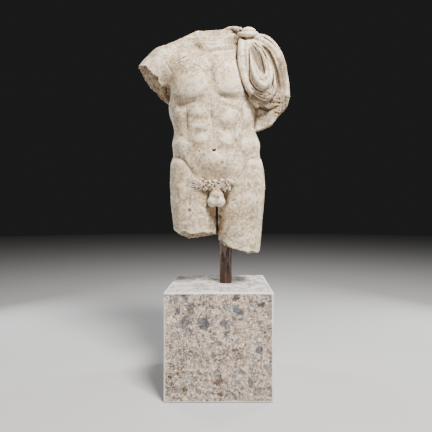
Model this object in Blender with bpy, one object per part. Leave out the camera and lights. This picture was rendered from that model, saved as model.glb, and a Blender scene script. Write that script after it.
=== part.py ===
"""A broken marble torso of a youth with a cloak on his left shoulder, on a steel rod in a square stone block.

Metres, +Z up, the figure facing -Y. The origin is the middle of the block's underside. The marble is
modelled as clay would be: a distance field that starts as a trunk of stacked sections, to which masses are
added and from which hollows are cut, and that OpenVDB turns into one closed skin. "Right" and "left" are the
figure's own, so the right side is at -X.
"""

import math

import bmesh
import bpy
import numpy as np
import openvdb
from mathutils import Euler, Matrix, Vector

# ---------------------------------------------------------------- driving dimensions
BLOCK_SIDE = 0.380
BLOCK_EDGE = 0.003
ROD_RADIUS = 0.024
ROD_X = 0.0245
ROD_TOP = 0.640
ROD_FOOT_DEPTH = 0.060
SOCKET_GAP = 0.0004

CLAY_STEP = 0.005
CLAY_LOW = (-0.345, -0.205, 0.485)
CLAY_HIGH = (0.315, 0.185, 1.405)
MARBLE_TRIANGLES = 9200

REACH = 0.05
FAR = 1.0


# ---------------------------------------------------------------- curves, blends and noise
def smooth_path(points, per_span=6):
    """Points read from a Catmull-Rom curve through the given ones."""
    knots = np.asarray(points, float)
    ends = np.vstack([2 * knots[0] - knots[1], knots, 2 * knots[-1] - knots[-2]])
    t = np.linspace(0, 1, per_span, endpoint=False)[:, None]
    spans = [
        0.5 * (2 * b + (c - a) * t + (2 * a - 5 * b + 4 * c - d) * t**2 + (3 * b - a - 3 * c + d) * t**3)
        for a, b, c, d in zip(ends, ends[1:], ends[2:], ends[3:])
    ]
    return np.vstack([*spans, knots[-1:]])


def path_distance(points, path):
    """Each point's distance from a path, and how far along the path, in knots, its nearest place is."""
    nearest = np.full(len(points), np.inf, np.float32)
    place = np.zeros(len(points), np.float32)
    for i, (a, b) in enumerate(zip(path, path[1:])):
        along = b - a
        t = np.clip((points - a) @ along / (along @ along), 0, 1)
        gap = np.linalg.norm(points - a - t[:, None] * along, axis=1)
        closer = gap < nearest
        nearest[closer] = gap[closer]
        place[closer] = (i + t)[closer]
    return nearest, place


def blend(a, b, k):
    """The union of two distances, rounded over a width k."""
    h = np.clip(0.5 + 0.5 * (b - a) / k, 0, 1)
    return b * (1 - h) + a * h - k * h * (1 - h)


def ramp(value, low, high):
    """0 below low, 1 above high, and a smooth step between."""
    t = np.clip((value - low) / (high - low), 0, 1)
    return t * t * (3 - 2 * t)


NOISE_TABLE = np.random.default_rng(7).uniform(-1, 1, (32, 32, 32)).astype(np.float32)


def noise(points, size):
    """Smooth noise from -1 to 1 with lumps of about the given size."""
    place = points / size + 0.37
    cell = np.floor(place).astype(int)
    t = place - cell
    t = t * t * (3 - 2 * t)
    total = np.zeros(len(points), np.float32)
    for corner in np.ndindex(2, 2, 2):
        weight = np.prod(np.where(corner, t, 1 - t), axis=1)
        x, y, z = ((cell + corner) % 32).T
        total += weight * NOISE_TABLE[x, y, z]
    return total


# ---------------------------------------------------------------- solid shapes, as (low, high, distance)
def ellipsoid(centre, radii, turn=(0, 0, 0)):
    """An ellipsoid turned by Euler angles in degrees."""
    centre, radii = np.array(centre), np.array(radii)
    axes = np.array(Euler([math.radians(a) for a in turn]).to_matrix())

    def distance(points):
        local = (points - centre) @ axes
        size = np.linalg.norm(local / radii, axis=1)
        steepness = np.linalg.norm(local / radii**2, axis=1)
        return size * (size - 1) / np.maximum(steepness, 1e-4)

    reach = radii.max()
    return centre - reach, centre + reach, distance


def limb(points, radii, per_span=4):
    """A rounded tube along a smooth path, with a radius at each of its points."""
    path = smooth_path(points, per_span)
    girth = smooth_path(np.array(radii)[:, None], per_span)[:, 0]

    def distance(where):
        gap, place = path_distance(where, path)
        return gap - np.interp(place, np.arange(len(girth)), girth)

    reach = max(radii)
    return path.min(axis=0) - reach, path.max(axis=0) + reach, distance


def column(sections, power):
    """A pile of level sections (z, x, y, half width, depth in front, depth behind), squarer as power grows."""
    table = smooth_path(sections, 10)

    def distance(points):
        x, y, half, front, back = (np.interp(points[:, 2], table[:, 0], c) for c in table[:, 1:].T)
        across = points[:, 0] - x
        ahead = points[:, 1] - y
        depth = np.where(ahead < 0, front, back)
        size = ((np.abs(across) / half) ** power + (np.abs(ahead) / depth) ** power) ** (1 / power)
        radial = np.hypot(across, ahead)
        side = radial - radial / np.maximum(size, 1e-4)
        ends = np.maximum(table[0, 0] - points[:, 2], points[:, 2] - table[-1, 0])
        return np.maximum(side, ends)

    low = (table[:, [1, 2, 0]] - table[:, [3, 4, 0]] * (1, 1, 0)).min(axis=0)
    high = (table[:, [1, 2, 0]] + table[:, [3, 5, 0]] * (1, 1, 0)).max(axis=0)
    return low, high, distance


# ---------------------------------------------------------------- the clay
class Clay:
    """Points in the air and in the stone, and each one's distance from the skin: below 0 in the stone."""

    def __init__(self, points):
        self.points = points
        self.distance = np.full(len(points), FAR, np.float32)

    def near(self, low, high):
        """The indices of the points within reach of a box."""
        low, high = np.array(low) - REACH, np.array(high) + REACH
        return np.flatnonzero(((self.points >= low) & (self.points <= high)).all(axis=1))

    def add(self, shape, soft):
        """Adds a shape, with a fillet of the given width."""
        low, high, distance = shape
        here = self.near(low, high)
        self.distance[here] = blend(self.distance[here], distance(self.points[here]), soft)

    def cut(self, shape, soft):
        """Cuts a shape away, with an edge rounded over the given width."""
        low, high, distance = shape
        here = self.near(low, high)
        self.distance[here] = -blend(-self.distance[here], distance(self.points[here]), soft)

    def join(self, other, soft):
        """Adds what another clay holds."""
        self.distance = blend(self.distance, other.distance, soft)

    def stroke(self, path, width, height, side=-1, fade=0.0):
        """Raises (or, below 0, cuts) a line drawn in front view as (x, z) points, on the front (side -1) or
        on the back (side 1). It dies away over the share of its length given by fade at each end."""
        path = smooth_path(path)
        low = np.array((path[:, 0].min(), -FAR, path[:, 1].min())) - 2 * width
        high = np.array((path[:, 0].max(), FAR, path[:, 1].max())) + 2 * width
        here = self.near(low, high)
        points = self.points[here]
        gap, place = path_distance(points[:, [0, 2]], path)
        share = place / (len(path) - 1)
        strength = ramp(np.minimum(share, 1 - share), -1e-3, fade) if fade else 1.0
        strength = strength * ramp(side * points[:, 1], 0.0, 0.03)
        self.distance[here] -= height * strength * np.exp(-((gap / width) ** 2))

    def pad(self, centre, size, height, turn=0.0, side=-1, power=2.0, flat=0.0):
        """Raises (or, below 0, sinks) a low mound drawn in front view at (x, z). It reaches size (across, up,
        down), is turned by degrees, gets squarer as power grows, and is level over the share flat."""
        across, up, down = size
        reach = max(size) * 1.2
        low = (centre[0] - reach, -FAR, centre[1] - reach)
        high = (centre[0] + reach, FAR, centre[1] + reach)
        here = self.near(low, high)
        points = self.points[here]
        c, s = math.cos(math.radians(turn)), math.sin(math.radians(turn))
        x, z = points[:, 0] - centre[0], points[:, 2] - centre[1]
        aside, above = (c * x + s * z) / across, c * z - s * x
        above = above / np.where(above > 0, up, down)
        spread = (np.abs(aside) ** power + np.abs(above) ** power) ** (1 / power)
        strength = ramp(-spread, -1.0, -flat) * ramp(side * points[:, 1], 0.0, 0.03)
        self.distance[here] -= height * strength

    def break_off(self, planes, rough):
        """Keeps what lies behind every one of the planes (point, normal), and leaves the cuts rough."""
        cut = np.full(len(self.points), -FAR, np.float32)
        for point, normal in planes:
            normal = np.array(normal) / np.linalg.norm(normal)
            cut = np.maximum(cut, (self.points - np.array(point)) @ normal)
        here = np.flatnonzero((np.abs(cut) < REACH) & (self.distance < REACH))
        lumps = noise(self.points[here], 0.030) + 0.5 * noise(self.points[here], 0.012)
        cut[here] += rough * lumps
        self.distance = np.maximum(self.distance, cut)


# ---------------------------------------------------------------- the figure
RIGHT, LEFT = -1, 1
BACK = 1


def midline(z):
    """The x of the figure's midline at a height: it leans towards his right as it climbs."""
    heights = (0.78, 0.885, 1.00, 1.09, 1.30, 1.40)
    return float(np.interp(z, heights, (-0.010, -0.018, -0.024, -0.031, -0.031, -0.022)))


def trunk(clay):
    """The trunk from the crotch to the collar, as level sections."""
    sections = [
        (0.650, -0.008, 0.0, 0.090, 0.050, 0.060),
        (0.700, -0.008, 0.0, 0.150, 0.070, 0.085),
        (0.740, -0.0070, 0.0, 0.178, 0.090, 0.100),
        (0.790, -0.0080, 0.0, 0.182, 0.098, 0.098),
        (0.840, -0.0110, 0.0, 0.179, 0.102, 0.088),
        (0.880, -0.0115, 0.0, 0.168, 0.102, 0.076),
        (0.920, -0.0135, 0.0, 0.170, 0.102, 0.070),
        (0.975, -0.0175, 0.0, 0.159, 0.100, 0.072),
        (1.030, -0.0220, 0.0, 0.170, 0.102, 0.082),
        (1.090, -0.0225, 0.0, 0.179, 0.104, 0.096),
        (1.150, -0.0250, 0.0, 0.180, 0.102, 0.106),
        (1.210, -0.0270, 0.0, 0.172, 0.090, 0.104),
        (1.255, -0.0280, 0.0, 0.155, 0.070, 0.094),
        (1.290, -0.0280, 0.0, 0.130, 0.047, 0.078),
        (1.325, -0.0270, 0.0, 0.090, 0.025, 0.060),
    ]
    clay.add(column(sections, power=2.35), soft=0.001)


def thigh(clay, sections, breaks):
    """One thigh, broken off above the knee."""
    leg = Clay(clay.points)
    leg.add(column(sections, power=2.3), soft=0.001)
    leg.break_off(breaks, rough=0.004)
    clay.join(leg, soft=0.014)


def thighs(clay):
    """The two thighs, which touch along a narrow groove."""
    thigh(
        clay,
        [
            (0.520, -0.092, -0.010, 0.079, 0.084, 0.080),
            (0.600, -0.094, -0.008, 0.084, 0.090, 0.088),
            (0.680, -0.098, -0.004, 0.089, 0.094, 0.096),
            (0.760, -0.098, 0.000, 0.091, 0.094, 0.100),
            (0.840, -0.096, 0.005, 0.082, 0.080, 0.080),
        ],
        [((-0.09, -0.09, 0.580), (0.06, -0.14, -0.98)), ((-0.168, -0.03, 0.588), (-0.62, -0.05, -0.78))],
    )
    thigh(
        clay,
        [
            (0.480, 0.076, 0.000, 0.081, 0.082, 0.080),
            (0.560, 0.0785, 0.000, 0.0835, 0.088, 0.086),
            (0.640, 0.082, 0.002, 0.087, 0.092, 0.094),
            (0.720, 0.084, 0.004, 0.091, 0.096, 0.100),
            (0.800, 0.082, 0.008, 0.088, 0.086, 0.090),
            (0.850, 0.080, 0.010, 0.078, 0.074, 0.075),
        ],
        [
            ((0.010, -0.05, 0.545), (-0.62, -0.10, -0.78)),
            ((0.070, -0.05, 0.515), (-0.24, -0.06, -0.97)),
            ((0.120, -0.05, 0.506), (0.03, -0.10, -0.99)),
            ((0.157, -0.02, 0.515), (0.72, 0.00, -0.69)),
        ],
    )
    clay.add(limb([(-0.008, 0.012, 0.700), (-0.005, 0.012, 0.600)], (0.030, 0.028)), soft=0.010)
    clay.cut(ellipsoid((-0.0075, -0.090, 0.600), (0.005, 0.055, 0.110)), soft=0.004)
    clay.pad((-0.110, 0.661), (0.008, 0.009, 0.009), -0.005)
    clay.stroke([(-0.106, 0.716), (-0.108, 0.689)], 0.004, -0.002)
    clay.stroke([(0.133, 0.73), (0.140, 0.70), (0.137, 0.66)], 0.004, -0.002)


def buttocks(clay):
    for side in (RIGHT, LEFT):
        x = midline(0.76) + side * 0.080
        centre = (x, 0.050, 0.768 + side * 0.005)
        clay.add(ellipsoid(centre, (0.086, 0.084, 0.096), (20, 0, side * 8)), soft=0.02)
        clay.stroke([(x - side * 0.05, 0.676), (x, 0.668), (x + side * 0.06, 0.685)], 0.010, -0.006, BACK, 0.3)
    clay.stroke([(-0.012, 0.86), (-0.010, 0.78), (-0.009, 0.66)], 0.009, -0.016, BACK, 0.2)


def shoulder_slopes(clay):
    """The slopes from the neck out to the shoulders, and the shoulder blades."""
    for side in (RIGHT, LEFT):
        middle = midline(1.30)
        inner, half_way, outer = (middle + side * reach for reach in (0.055, 0.125, 0.185))
        points = [(inner, 0.030, 1.327), (half_way, 0.020, 1.293), (outer, 0.010, 1.257)]
        clay.add(limb(points, (0.040, 0.042, 0.047)), soft=0.03)
        blade = (middle + side * 0.098, 0.066, 1.17)
        clay.add(ellipsoid(blade, (0.072, 0.046, 0.092), (0, 0, -side * 8)), soft=0.03)


def back_forms(clay):
    """The furrow of the spine between its two columns of muscle, and the edges of the shoulder blades."""
    spine = [(midline(z), z) for z in (1.27, 1.18, 1.08, 0.98, 0.90, 0.845)]
    clay.stroke(spine, 0.013, -0.010, BACK, 0.15)
    for side in (RIGHT, LEFT):
        columns = [(midline(z) + side * out, z) for out, z in ((0.036, 1.08), (0.036, 0.98), (0.040, 0.88))]
        clay.stroke(columns, 0.020, 0.007, BACK, 0.4)
        edge = ((0.052, 1.225), (0.060, 1.15), (0.085, 1.085), (0.13, 1.07))
        clay.stroke([(midline(1.2) + side * x, z) for x, z in edge], 0.012, -0.005, BACK, 0.2)
        clay.pad((midline(0.86) + side * 0.040, 0.862), (0.014, 0.014, 0.014), -0.004, side=BACK)


def breast(clay):
    """The two breast muscles, the furrow of the breastbone, and the collar bones."""
    clay.pad((-0.108, 1.112), (0.092, 0.135, 0.060), 0.012, -2, power=2.3)
    clay.pad((-0.106, 1.110), (0.086, 0.120, 0.056), 0.010, -6, power=2.3, flat=0.5)
    clay.pad((0.050, 1.124), (0.088, 0.135, 0.055), 0.012, 5, power=2.3)
    clay.pad((0.048, 1.122), (0.082, 0.120, 0.051), 0.010, 6, power=2.3, flat=0.5)
    right_edge = [(-0.038, 1.090), (-0.088, 1.066), (-0.120, 1.056), (-0.146, 1.052), (-0.170, 1.062)]
    clay.stroke(right_edge, 0.006, -0.004, fade=0.25)
    clay.stroke([(-0.018, 1.096), (0.007, 1.083), (0.036, 1.074), (0.098, 1.070)], 0.006, -0.004, fade=0.2)
    clay.pad((-0.141, 1.052), (0.030, 0.014, 0.016), -0.004)
    clay.stroke([(-0.031, 1.23), (-0.031, 1.15), (-0.028, 1.09)], 0.013, -0.006, fade=0.3)
    clay.stroke([(-0.19, 1.262), (-0.13, 1.268), (-0.075, 1.272)], 0.014, 0.004, fade=0.3)
    under_bone = [(-0.160, 1.217), (-0.138, 1.232), (-0.108, 1.243), (-0.085, 1.248)]
    clay.stroke(under_bone, 0.005, -0.004, fade=0.2)
    clay.stroke([(-0.207, 1.212), (-0.199, 1.180), (-0.196, 1.140)], 0.010, -0.004, fade=0.3)


def belly(clay):
    """The straight muscles of the belly in their rows, the ribs' arch, the flanks and the lower belly."""
    for centre, size, height in (
        ((-0.078, 1.027), (0.044, 0.037, 0.033), 0.006),
        ((-0.076, 0.972), (0.045, 0.027, 0.025), 0.005),
        ((-0.060, 0.924), (0.046, 0.029, 0.031), 0.006),
        ((0.030, 1.004), (0.058, 0.049, 0.051), 0.009),
        ((0.024, 0.920), (0.044, 0.035, 0.033), 0.006),
        ((-0.142, 0.896), (0.046, 0.044, 0.040), 0.010),
        ((0.108, 0.902), (0.052, 0.060, 0.050), 0.010),
        ((-0.150, 1.000), (0.032, 0.070, 0.062), 0.005),
        ((0.106, 1.020), (0.036, 0.056, 0.070), 0.006),
    ):
        clay.pad(centre, size, height, power=2.6, flat=0.35)
    clay.pad((-0.010, 0.846), (0.092, 0.050, 0.080), 0.013, power=2.6)
    for path, width, depth in (
        ([(-0.029, 1.070), (-0.032, 1.029), (-0.028, 1.005), (-0.022, 0.975), (-0.018, 0.905)], 0.009, 0.0045),
        ([(-0.031, 1.040), (-0.031, 1.010), (-0.027, 0.995)], 0.006, 0.0030),
        ([(-0.120, 1.054), (-0.120, 1.000), (-0.119, 0.953), (-0.113, 0.925)], 0.008, 0.0055),
        ([(-0.172, 0.944), (-0.140, 0.936), (-0.114, 0.924), (-0.094, 0.906), (-0.060, 0.897)], 0.009, 0.0055),
        ([(-0.112, 0.999), (-0.075, 0.996), (-0.038, 1.002)], 0.010, 0.0010),
        ([(-0.106, 0.951), (-0.070, 0.950), (-0.028, 0.955)], 0.010, 0.0035),
        ([(-0.015, 0.966), (0.020, 0.958), (0.050, 0.952), (0.082, 0.951)], 0.009, 0.0050),
        ([(-0.011, 0.892), (0.022, 0.889), (0.056, 0.893)], 0.010, 0.0020),
        ([(0.090, 1.010), (0.090, 0.970), (0.082, 0.945), (0.070, 0.915), (0.056, 0.893)], 0.012, 0.0045),
        ([(0.000, 1.057), (0.036, 1.043), (0.070, 1.030), (0.100, 1.000)], 0.006, 0.0030),
    ):
        clay.stroke(path, width, -depth, fade=0.15)
    clay.pad((-0.019, 0.880), (0.008, 0.005, 0.005), -0.009)


def groin(clay):
    """The creases over the hips and down the groins."""
    right_hip = [(-0.190, 0.872), (-0.159, 0.862), (-0.135, 0.850)]
    left_hip = [(0.170, 0.872), (0.140, 0.860), (0.112, 0.853)]
    clay.stroke(right_hip + [(-0.116, 0.826), (-0.094, 0.797), (-0.074, 0.774)], 0.007, -0.008)
    clay.stroke(left_hip + [(0.101, 0.838), (0.091, 0.812), (0.069, 0.783), (0.046, 0.762)], 0.009, -0.006)
    clay.stroke(left_hip, 0.006, -0.004)


def neck(clay):
    """The stump of the neck, broken back from the throat, and the hollow at its foot."""
    stump = Clay(clay.points)
    stump.add(limb([(-0.027, 0.015, 1.27), (-0.016, 0.012, 1.42)], (0.070, 0.066)), soft=0.001)
    throat = ((-0.02, -0.035, 1.322), (-0.05, -0.76, 0.65))
    top = ((-0.02, 0.02, 1.374), (0.0, 0.10, 0.99))
    stump.break_off([throat, top], rough=0.002)
    clay.join(stump, soft=0.018)
    foot = [(-0.101, 1.306), (-0.079, 1.282), (-0.060, 1.267), (-0.034, 1.261), (0.000, 1.268), (0.066, 1.280)]
    clay.stroke(foot, 0.008, -0.007, fade=0.1)
    clay.stroke([(-0.066, 1.290), (-0.036, 1.280), (0.000, 1.284), (0.040, 1.292)], 0.005, 0.003, fade=0.3)


def right_arm(clay):
    """The stump of the lowered right arm, broken just below the shoulder, with the hollow of the armpit."""
    arm = Clay(clay.points)
    shoulder = [(-0.185, 0.006, 1.230), (-0.213, 0.006, 1.219), (-0.248, 0.002, 1.180), (-0.290, 0.0, 1.120)]
    arm.add(limb(shoulder, (0.066, 0.076, 0.079, 0.070)), soft=0.001)
    behind = [(-0.245, 0.045, 1.165), (-0.205, 0.048, 1.122), (-0.178, 0.044, 1.092)]
    arm.add(limb(behind, (0.045, 0.036, 0.024)), soft=0.03)
    arm.break_off([((-0.263, -0.01, 1.163), (-0.71, -0.09, -0.70))], rough=0.004)
    clay.join(arm, soft=0.030)
    clay.cut(ellipsoid((-0.212, -0.020, 1.098), (0.030, 0.048, 0.046), (0, 30, 0)), soft=0.012)


def left_arm(clay):
    """The left upper arm, hanging and drawn back, broken above the elbow."""
    arm = Clay(clay.points)
    upper = [(0.145, 0.010, 1.270), (0.178, 0.014, 1.245), (0.205, 0.016, 1.150)]
    lower = [(0.208, 0.018, 1.060), (0.203, 0.022, 0.95)]
    arm.add(limb(upper + lower, (0.060, 0.067, 0.064, 0.058, 0.056)), soft=0.001)
    arm.break_off(
        [((0.236, 0.0, 1.037), (0.76, -0.08, -0.65)), ((0.180, 0.0, 0.987), (0.36, -0.10, -0.92))],
        rough=0.003,
    )
    clay.join(arm, soft=0.008)


def sex(clay):
    """What is left of the sex, below the hair: one worn mass with a slanting furrow."""
    clay.add(ellipsoid((-0.024, -0.104, 0.700), (0.021, 0.028, 0.026), (0, 8, 0)), soft=0.006)
    clay.add(ellipsoid((0.002, -0.104, 0.701), (0.021, 0.028, 0.026), (0, -8, 0)), soft=0.016)
    clay.add(ellipsoid((-0.011, -0.104, 0.721), (0.030, 0.025, 0.018)), soft=0.010)
    clay.add(limb([(-0.012, -0.095, 0.732), (-0.010, -0.124, 0.722)], (0.018, 0.013)), soft=0.008)
    clay.stroke([(-0.040, 0.726), (-0.030, 0.712), (-0.016, 0.700), (-0.010, 0.688)], 0.003, -0.0025)


def curl(centre, size, start, hand):
    """A comma-shaped lock of hair, thick at its root, that winds in towards its centre."""
    x, y, z = centre
    points = []
    for step in range(5):
        angle = math.radians(start + hand * 48 * step)
        reach = size * (1.10 - 0.16 * step)
        points.append((x + reach * math.cos(angle), y - 0.0012 * step, z + reach * math.sin(angle)))
    return limb(points, [size * r for r in (0.46, 0.56, 0.52, 0.42, 0.26)], per_span=2)


def hair(clay):
    """Three rows of curls in a crescent, on a low swelling, and a fan of locks on the right thigh."""
    swelling = [(-0.078, 0.762), (-0.050, 0.752), (-0.012, 0.747), (0.025, 0.753), (0.046, 0.764)]
    clay.stroke(swelling, 0.016, 0.009)
    shake = np.random.default_rng(11)
    rows = ((0.765, 6, -0.062, 0.042), (0.750, 7, -0.072, 0.044), (0.736, 6, -0.056, 0.032))
    for z, count, low_x, high_x in rows:
        for x in np.linspace(low_x, high_x, count):
            place = laid_on(groin_front, [(x, z + 1.2 * (x + 0.015) ** 2)], 0.008)[0]
            size = shake.uniform(0.0080, 0.0092)
            clay.add(curl(place, size, shake.uniform(0, 360), shake.choice((-1, 1))), soft=0.003)
    fan = ((-0.106, 0.756, 0.000), (-0.104, 0.748, 0.002), (-0.098, 0.739, 0.006), (-0.088, 0.732, 0.008))
    for x, z, drop in fan:
        lock = [(x, z), (x + 0.018, z + drop / 2), (x + 0.034, z + drop)]
        clay.add(limb(laid_on(groin_front, lock, 0.002), (0.0030, 0.0048, 0.0055)), soft=0.003)


# ---------------------------------------------------------------- the cloak
KNOT = (0.108, -0.062, 1.331)

# Lines of the cloak in front view, as (x, z).
BAND_LEFT = [
    (0.076, 1.300), (0.073, 1.236), (0.073, 1.193), (0.081, 1.154),
    (0.097, 1.114), (0.120, 1.082), (0.147, 1.059), (0.176, 1.048),
]
BAND = [
    (0.090, 1.300), (0.088, 1.236), (0.089, 1.193), (0.095, 1.150),
    (0.110, 1.114), (0.133, 1.082), (0.165, 1.064), (0.190, 1.068),
]
BAND_RIGHT = [
    (0.102, 1.300), (0.102, 1.236), (0.103, 1.193), (0.107, 1.150),
    (0.116, 1.121), (0.137, 1.092), (0.163, 1.075), (0.183, 1.078),
]
BAND_BACK = [
    (0.165, 1.056), (0.188, 1.068), (0.201, 1.098), (0.205, 1.143),
    (0.198, 1.186), (0.181, 1.222), (0.158, 1.254), (0.130, 1.296),
]
INNER_BAND = [
    (0.117, 1.290), (0.121, 1.225), (0.125, 1.182), (0.134, 1.145), (0.150, 1.114), (0.168, 1.106),
    (0.179, 1.124), (0.182, 1.157), (0.177, 1.193), (0.164, 1.225), (0.147, 1.255), (0.125, 1.292),
]
INNER_LIP = [(0.118, 1.280), (0.125, 1.240), (0.131, 1.200), (0.141, 1.160), (0.155, 1.128)]
HOLLOW = [(0.132, 1.262), (0.143, 1.225), (0.154, 1.184), (0.161, 1.150), (0.164, 1.132)]
BETWEEN = [
    (0.111, 1.285), (0.111, 1.235), (0.112, 1.190), (0.115, 1.140),
    (0.126, 1.105), (0.143, 1.089), (0.161, 1.087), (0.178, 1.098),
]
BETWEEN_BACK = [(0.178, 1.098), (0.191, 1.129), (0.193, 1.179), (0.178, 1.222), (0.152, 1.258)]
OUTER_GROOVE = [
    (0.150, 1.305), (0.176, 1.280), (0.197, 1.250), (0.213, 1.214),
    (0.222, 1.180), (0.227, 1.146), (0.231, 1.108),
]
ARM_FOLD = [
    (0.142, 1.330), (0.176, 1.312), (0.203, 1.284), (0.222, 1.245),
    (0.235, 1.200), (0.243, 1.153), (0.248, 1.100),
]
ARM_EDGE = [
    (0.146, 1.346), (0.182, 1.334), (0.210, 1.300), (0.232, 1.255),
    (0.248, 1.205), (0.258, 1.150), (0.263, 1.090),
]
ARM_CREASE = [(0.186, 1.312), (0.199, 1.298), (0.213, 1.278), (0.228, 1.240)]


def body(clay):
    trunk(clay)
    thighs(clay)
    buttocks(clay)
    shoulder_slopes(clay)
    back_forms(clay)
    breast(clay)
    belly(clay)
    groin(clay)
    neck(clay)
    right_arm(clay)
    left_arm(clay)


def groin_front(clay):
    trunk(clay)
    thighs(clay)
    groin(clay)


def cloth_ground(clay):
    """The bunched cloth that the folds lie on, over the chest, the arm and the back of the shoulder."""
    bunch = [(0.106, -0.035, 1.310), (0.124, -0.062, 1.230), (0.142, -0.066, 1.150), (0.150, -0.056, 1.102)]
    sleeve = [(0.118, 0.015, 1.320), (0.170, 0.015, 1.296), (0.204, 0.018, 1.200), (0.218, 0.022, 1.110)]
    fall = [(0.120, 0.030, 1.325), (0.145, 0.070, 1.255), (0.165, 0.085, 1.150), (0.170, 0.080, 1.060)]
    clay.add(limb(bunch, (0.030, 0.047, 0.058, 0.052)), soft=0.010)
    clay.add(limb(sleeve, (0.038, 0.048, 0.056, 0.058)), soft=0.012)
    clay.add(limb(fall, (0.036, 0.040, 0.042, 0.038)), soft=0.015)


def cloak_front(clay):
    body(clay)
    cloth_ground(clay)


def laid_on(build, path, lift):
    """A path drawn in front view, as (x, z), laid on the front of what build makes and lifted off it."""
    depths = np.linspace(-0.22, 0.06, 57)
    clay = Clay(np.array([(x, y, z) for x, z in path for y in depths]))
    build(clay)
    levels = clay.distance.reshape(len(path), -1)
    places = []
    for (x, z), level in zip(path, levels):
        i = max(1, int(np.argmax(level < 0))) if (level < 0).any() else len(depths) - 1
        share = np.clip(level[i - 1] / (level[i - 1] - level[i]), 0, 1) if level[i] < 0 else 1.0
        places.append((x, depths[i - 1] + share * (depths[i] - depths[i - 1]) - lift, z))
    return places


def tapered(radius, count, ends=0.6):
    return [radius * (ends + (1 - ends) * math.sin(math.pi * i / (count - 1)) ** 0.5) for i in range(count)]


def cloak(clay):
    """The cloak: a knot at the shoulder, a band and a narrower one inside it hanging in loops, and folds
    that run over the arm."""
    cloth_ground(clay)
    for path, radius, lift in (
        (BAND, 0.012, 0.002),
        (BAND_LEFT, 0.008, 0.004),
        (BAND_RIGHT, 0.009, 0.006),
        (BAND_BACK, 0.012, 0.006),
        (INNER_BAND, 0.014, 0.004),
        (INNER_LIP, 0.007, 0.010),
        (ARM_FOLD, 0.012, 0.002),
        (ARM_EDGE, 0.012, -0.004),
    ):
        clay.add(limb(laid_on(cloak_front, path, lift), tapered(radius, len(path))), soft=0.005)
    for path, radius, lift in (
        (HOLLOW, 0.011, -0.001),
        (OUTER_GROOVE, 0.007, 0.008),
    ):
        clay.cut(limb(laid_on(cloak_front, path, lift), tapered(radius, len(path))), soft=0.006)
    for path, width, height in (
        (BETWEEN, 0.0045, -0.009),
        (BETWEEN_BACK, 0.0045, -0.006),
        (ARM_CREASE, 0.0040, -0.007),
    ):
        clay.stroke(path, width, height, fade=0.1)
    knot(clay)


def knot(clay):
    x, y, z = KNOT
    clay.add(ellipsoid((x - 0.010, y + 0.004, z + 0.010), (0.019, 0.022, 0.016)), soft=0.004)
    clay.add(ellipsoid((x + 0.013, y + 0.006, z + 0.009), (0.017, 0.022, 0.015)), soft=0.004)
    roll = [(-0.032, 0.010, -0.002), (-0.016, -0.006, -0.010), (0.002, -0.010, -0.013)]
    roll += [(0.018, -0.004, -0.009), (0.030, 0.010, 0.002)]
    around = [(x + across, y + back, z + up) for across, back, up in roll]
    clay.add(limb(around, (0.007, 0.009, 0.010, 0.009, 0.007)), soft=0.003)
    leaf = [(0.016, 0.000, 1.368), (0.036, -0.003, 1.3725), (0.057, -0.012, 1.369), (0.080, -0.036, 1.354)]
    under = [(0.040, 0.012, 1.350), (0.070, 0.004, 1.338), (0.098, -0.020, 1.326)]
    clay.add(limb(under, (0.016, 0.019, 0.020)), soft=0.012)
    clay.add(limb(leaf, (0.004, 0.008, 0.010, 0.012)), soft=0.004)
    clay.stroke([(0.022, 1.358), (0.048, 1.353), (0.076, 1.344)], 0.003, -0.005, fade=0.15)


def sculpture_distance(points):
    """Each point's distance from the marble's skin."""
    clay = Clay(points)
    body(clay)
    sex(clay)
    hair(clay)
    cloak(clay)
    return clay.distance


# ---------------------------------------------------------------- from the field to a skin
def skin(distance_of, low, high, step, coarse=3):
    """The closed skin of a distance field, as (points, quads), read finely only near the skin."""
    low = np.array(low)
    count = np.ceil((np.array(high) - low) / (step * coarse)).astype(int)
    wide = np.stack(np.meshgrid(*[np.arange(n + 1) for n in count], indexing="ij"), axis=-1)
    rough = distance_of((low + wide.reshape(-1, 3) * step * coarse)).reshape(count + 1)
    fine = rough
    for axis in range(3):
        fine = np.repeat(fine, coarse, axis=axis)
    band = np.flatnonzero(np.abs(fine) < 2.2 * step * coarse)
    index = np.stack(np.unravel_index(band, fine.shape), axis=-1)
    fine.reshape(-1)[band] = distance_of(low + index * step)
    grid = openvdb.FloatGrid(FAR)
    grid.copyFromArray(fine)
    points, quads = without_bubbles(*grid.convertToQuads())
    return low + points * step, quads


def without_bubbles(points, quads):
    """The largest of the skins, without the small bubbles that folds may seal in."""
    label = np.arange(len(points))
    settled = False
    while not settled:
        spread = label.copy()
        np.minimum.at(spread, quads, label[quads].min(axis=1, keepdims=True))
        spread = spread[spread]
        settled = (spread == label).all()
        label = spread
    kept = label == np.bincount(label).argmax()
    renumbered = np.cumsum(kept) - 1
    return points[kept], renumbered[quads[kept[quads[:, 0]]]]


def mesh_object(name, points, faces):
    mesh = bpy.data.meshes.new(name)
    mesh.from_pydata(points.tolist(), [], faces.tolist())
    obj = bpy.data.objects.new(name, mesh)
    bpy.context.scene.collection.objects.link(obj)
    return obj


# ---------------------------------------------------------------- the solids
def round_bar(name, radius, bottom, top, sides=64):
    """An upright round bar on the rod's axis."""
    bm = bmesh.new()
    middle = Matrix.Translation(Vector((ROD_X, 0, (bottom + top) / 2)))
    bmesh.ops.create_cone(
        bm, cap_ends=True, segments=sides, radius1=radius, radius2=radius, depth=top - bottom, matrix=middle
    )
    mesh = bpy.data.meshes.new(name)
    bm.to_mesh(mesh)
    bm.free()
    obj = bpy.data.objects.new(name, mesh)
    bpy.context.scene.collection.objects.link(obj)
    return obj


def cutter(obj):
    obj.hide_render = True
    obj.display_type = "WIRE"
    return obj


def cut_by(obj, tool):
    modifier = obj.modifiers.new("Cut " + tool.name, "BOOLEAN")
    modifier.operation = "DIFFERENCE"
    modifier.solver = "EXACT"
    modifier.object = tool


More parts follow.
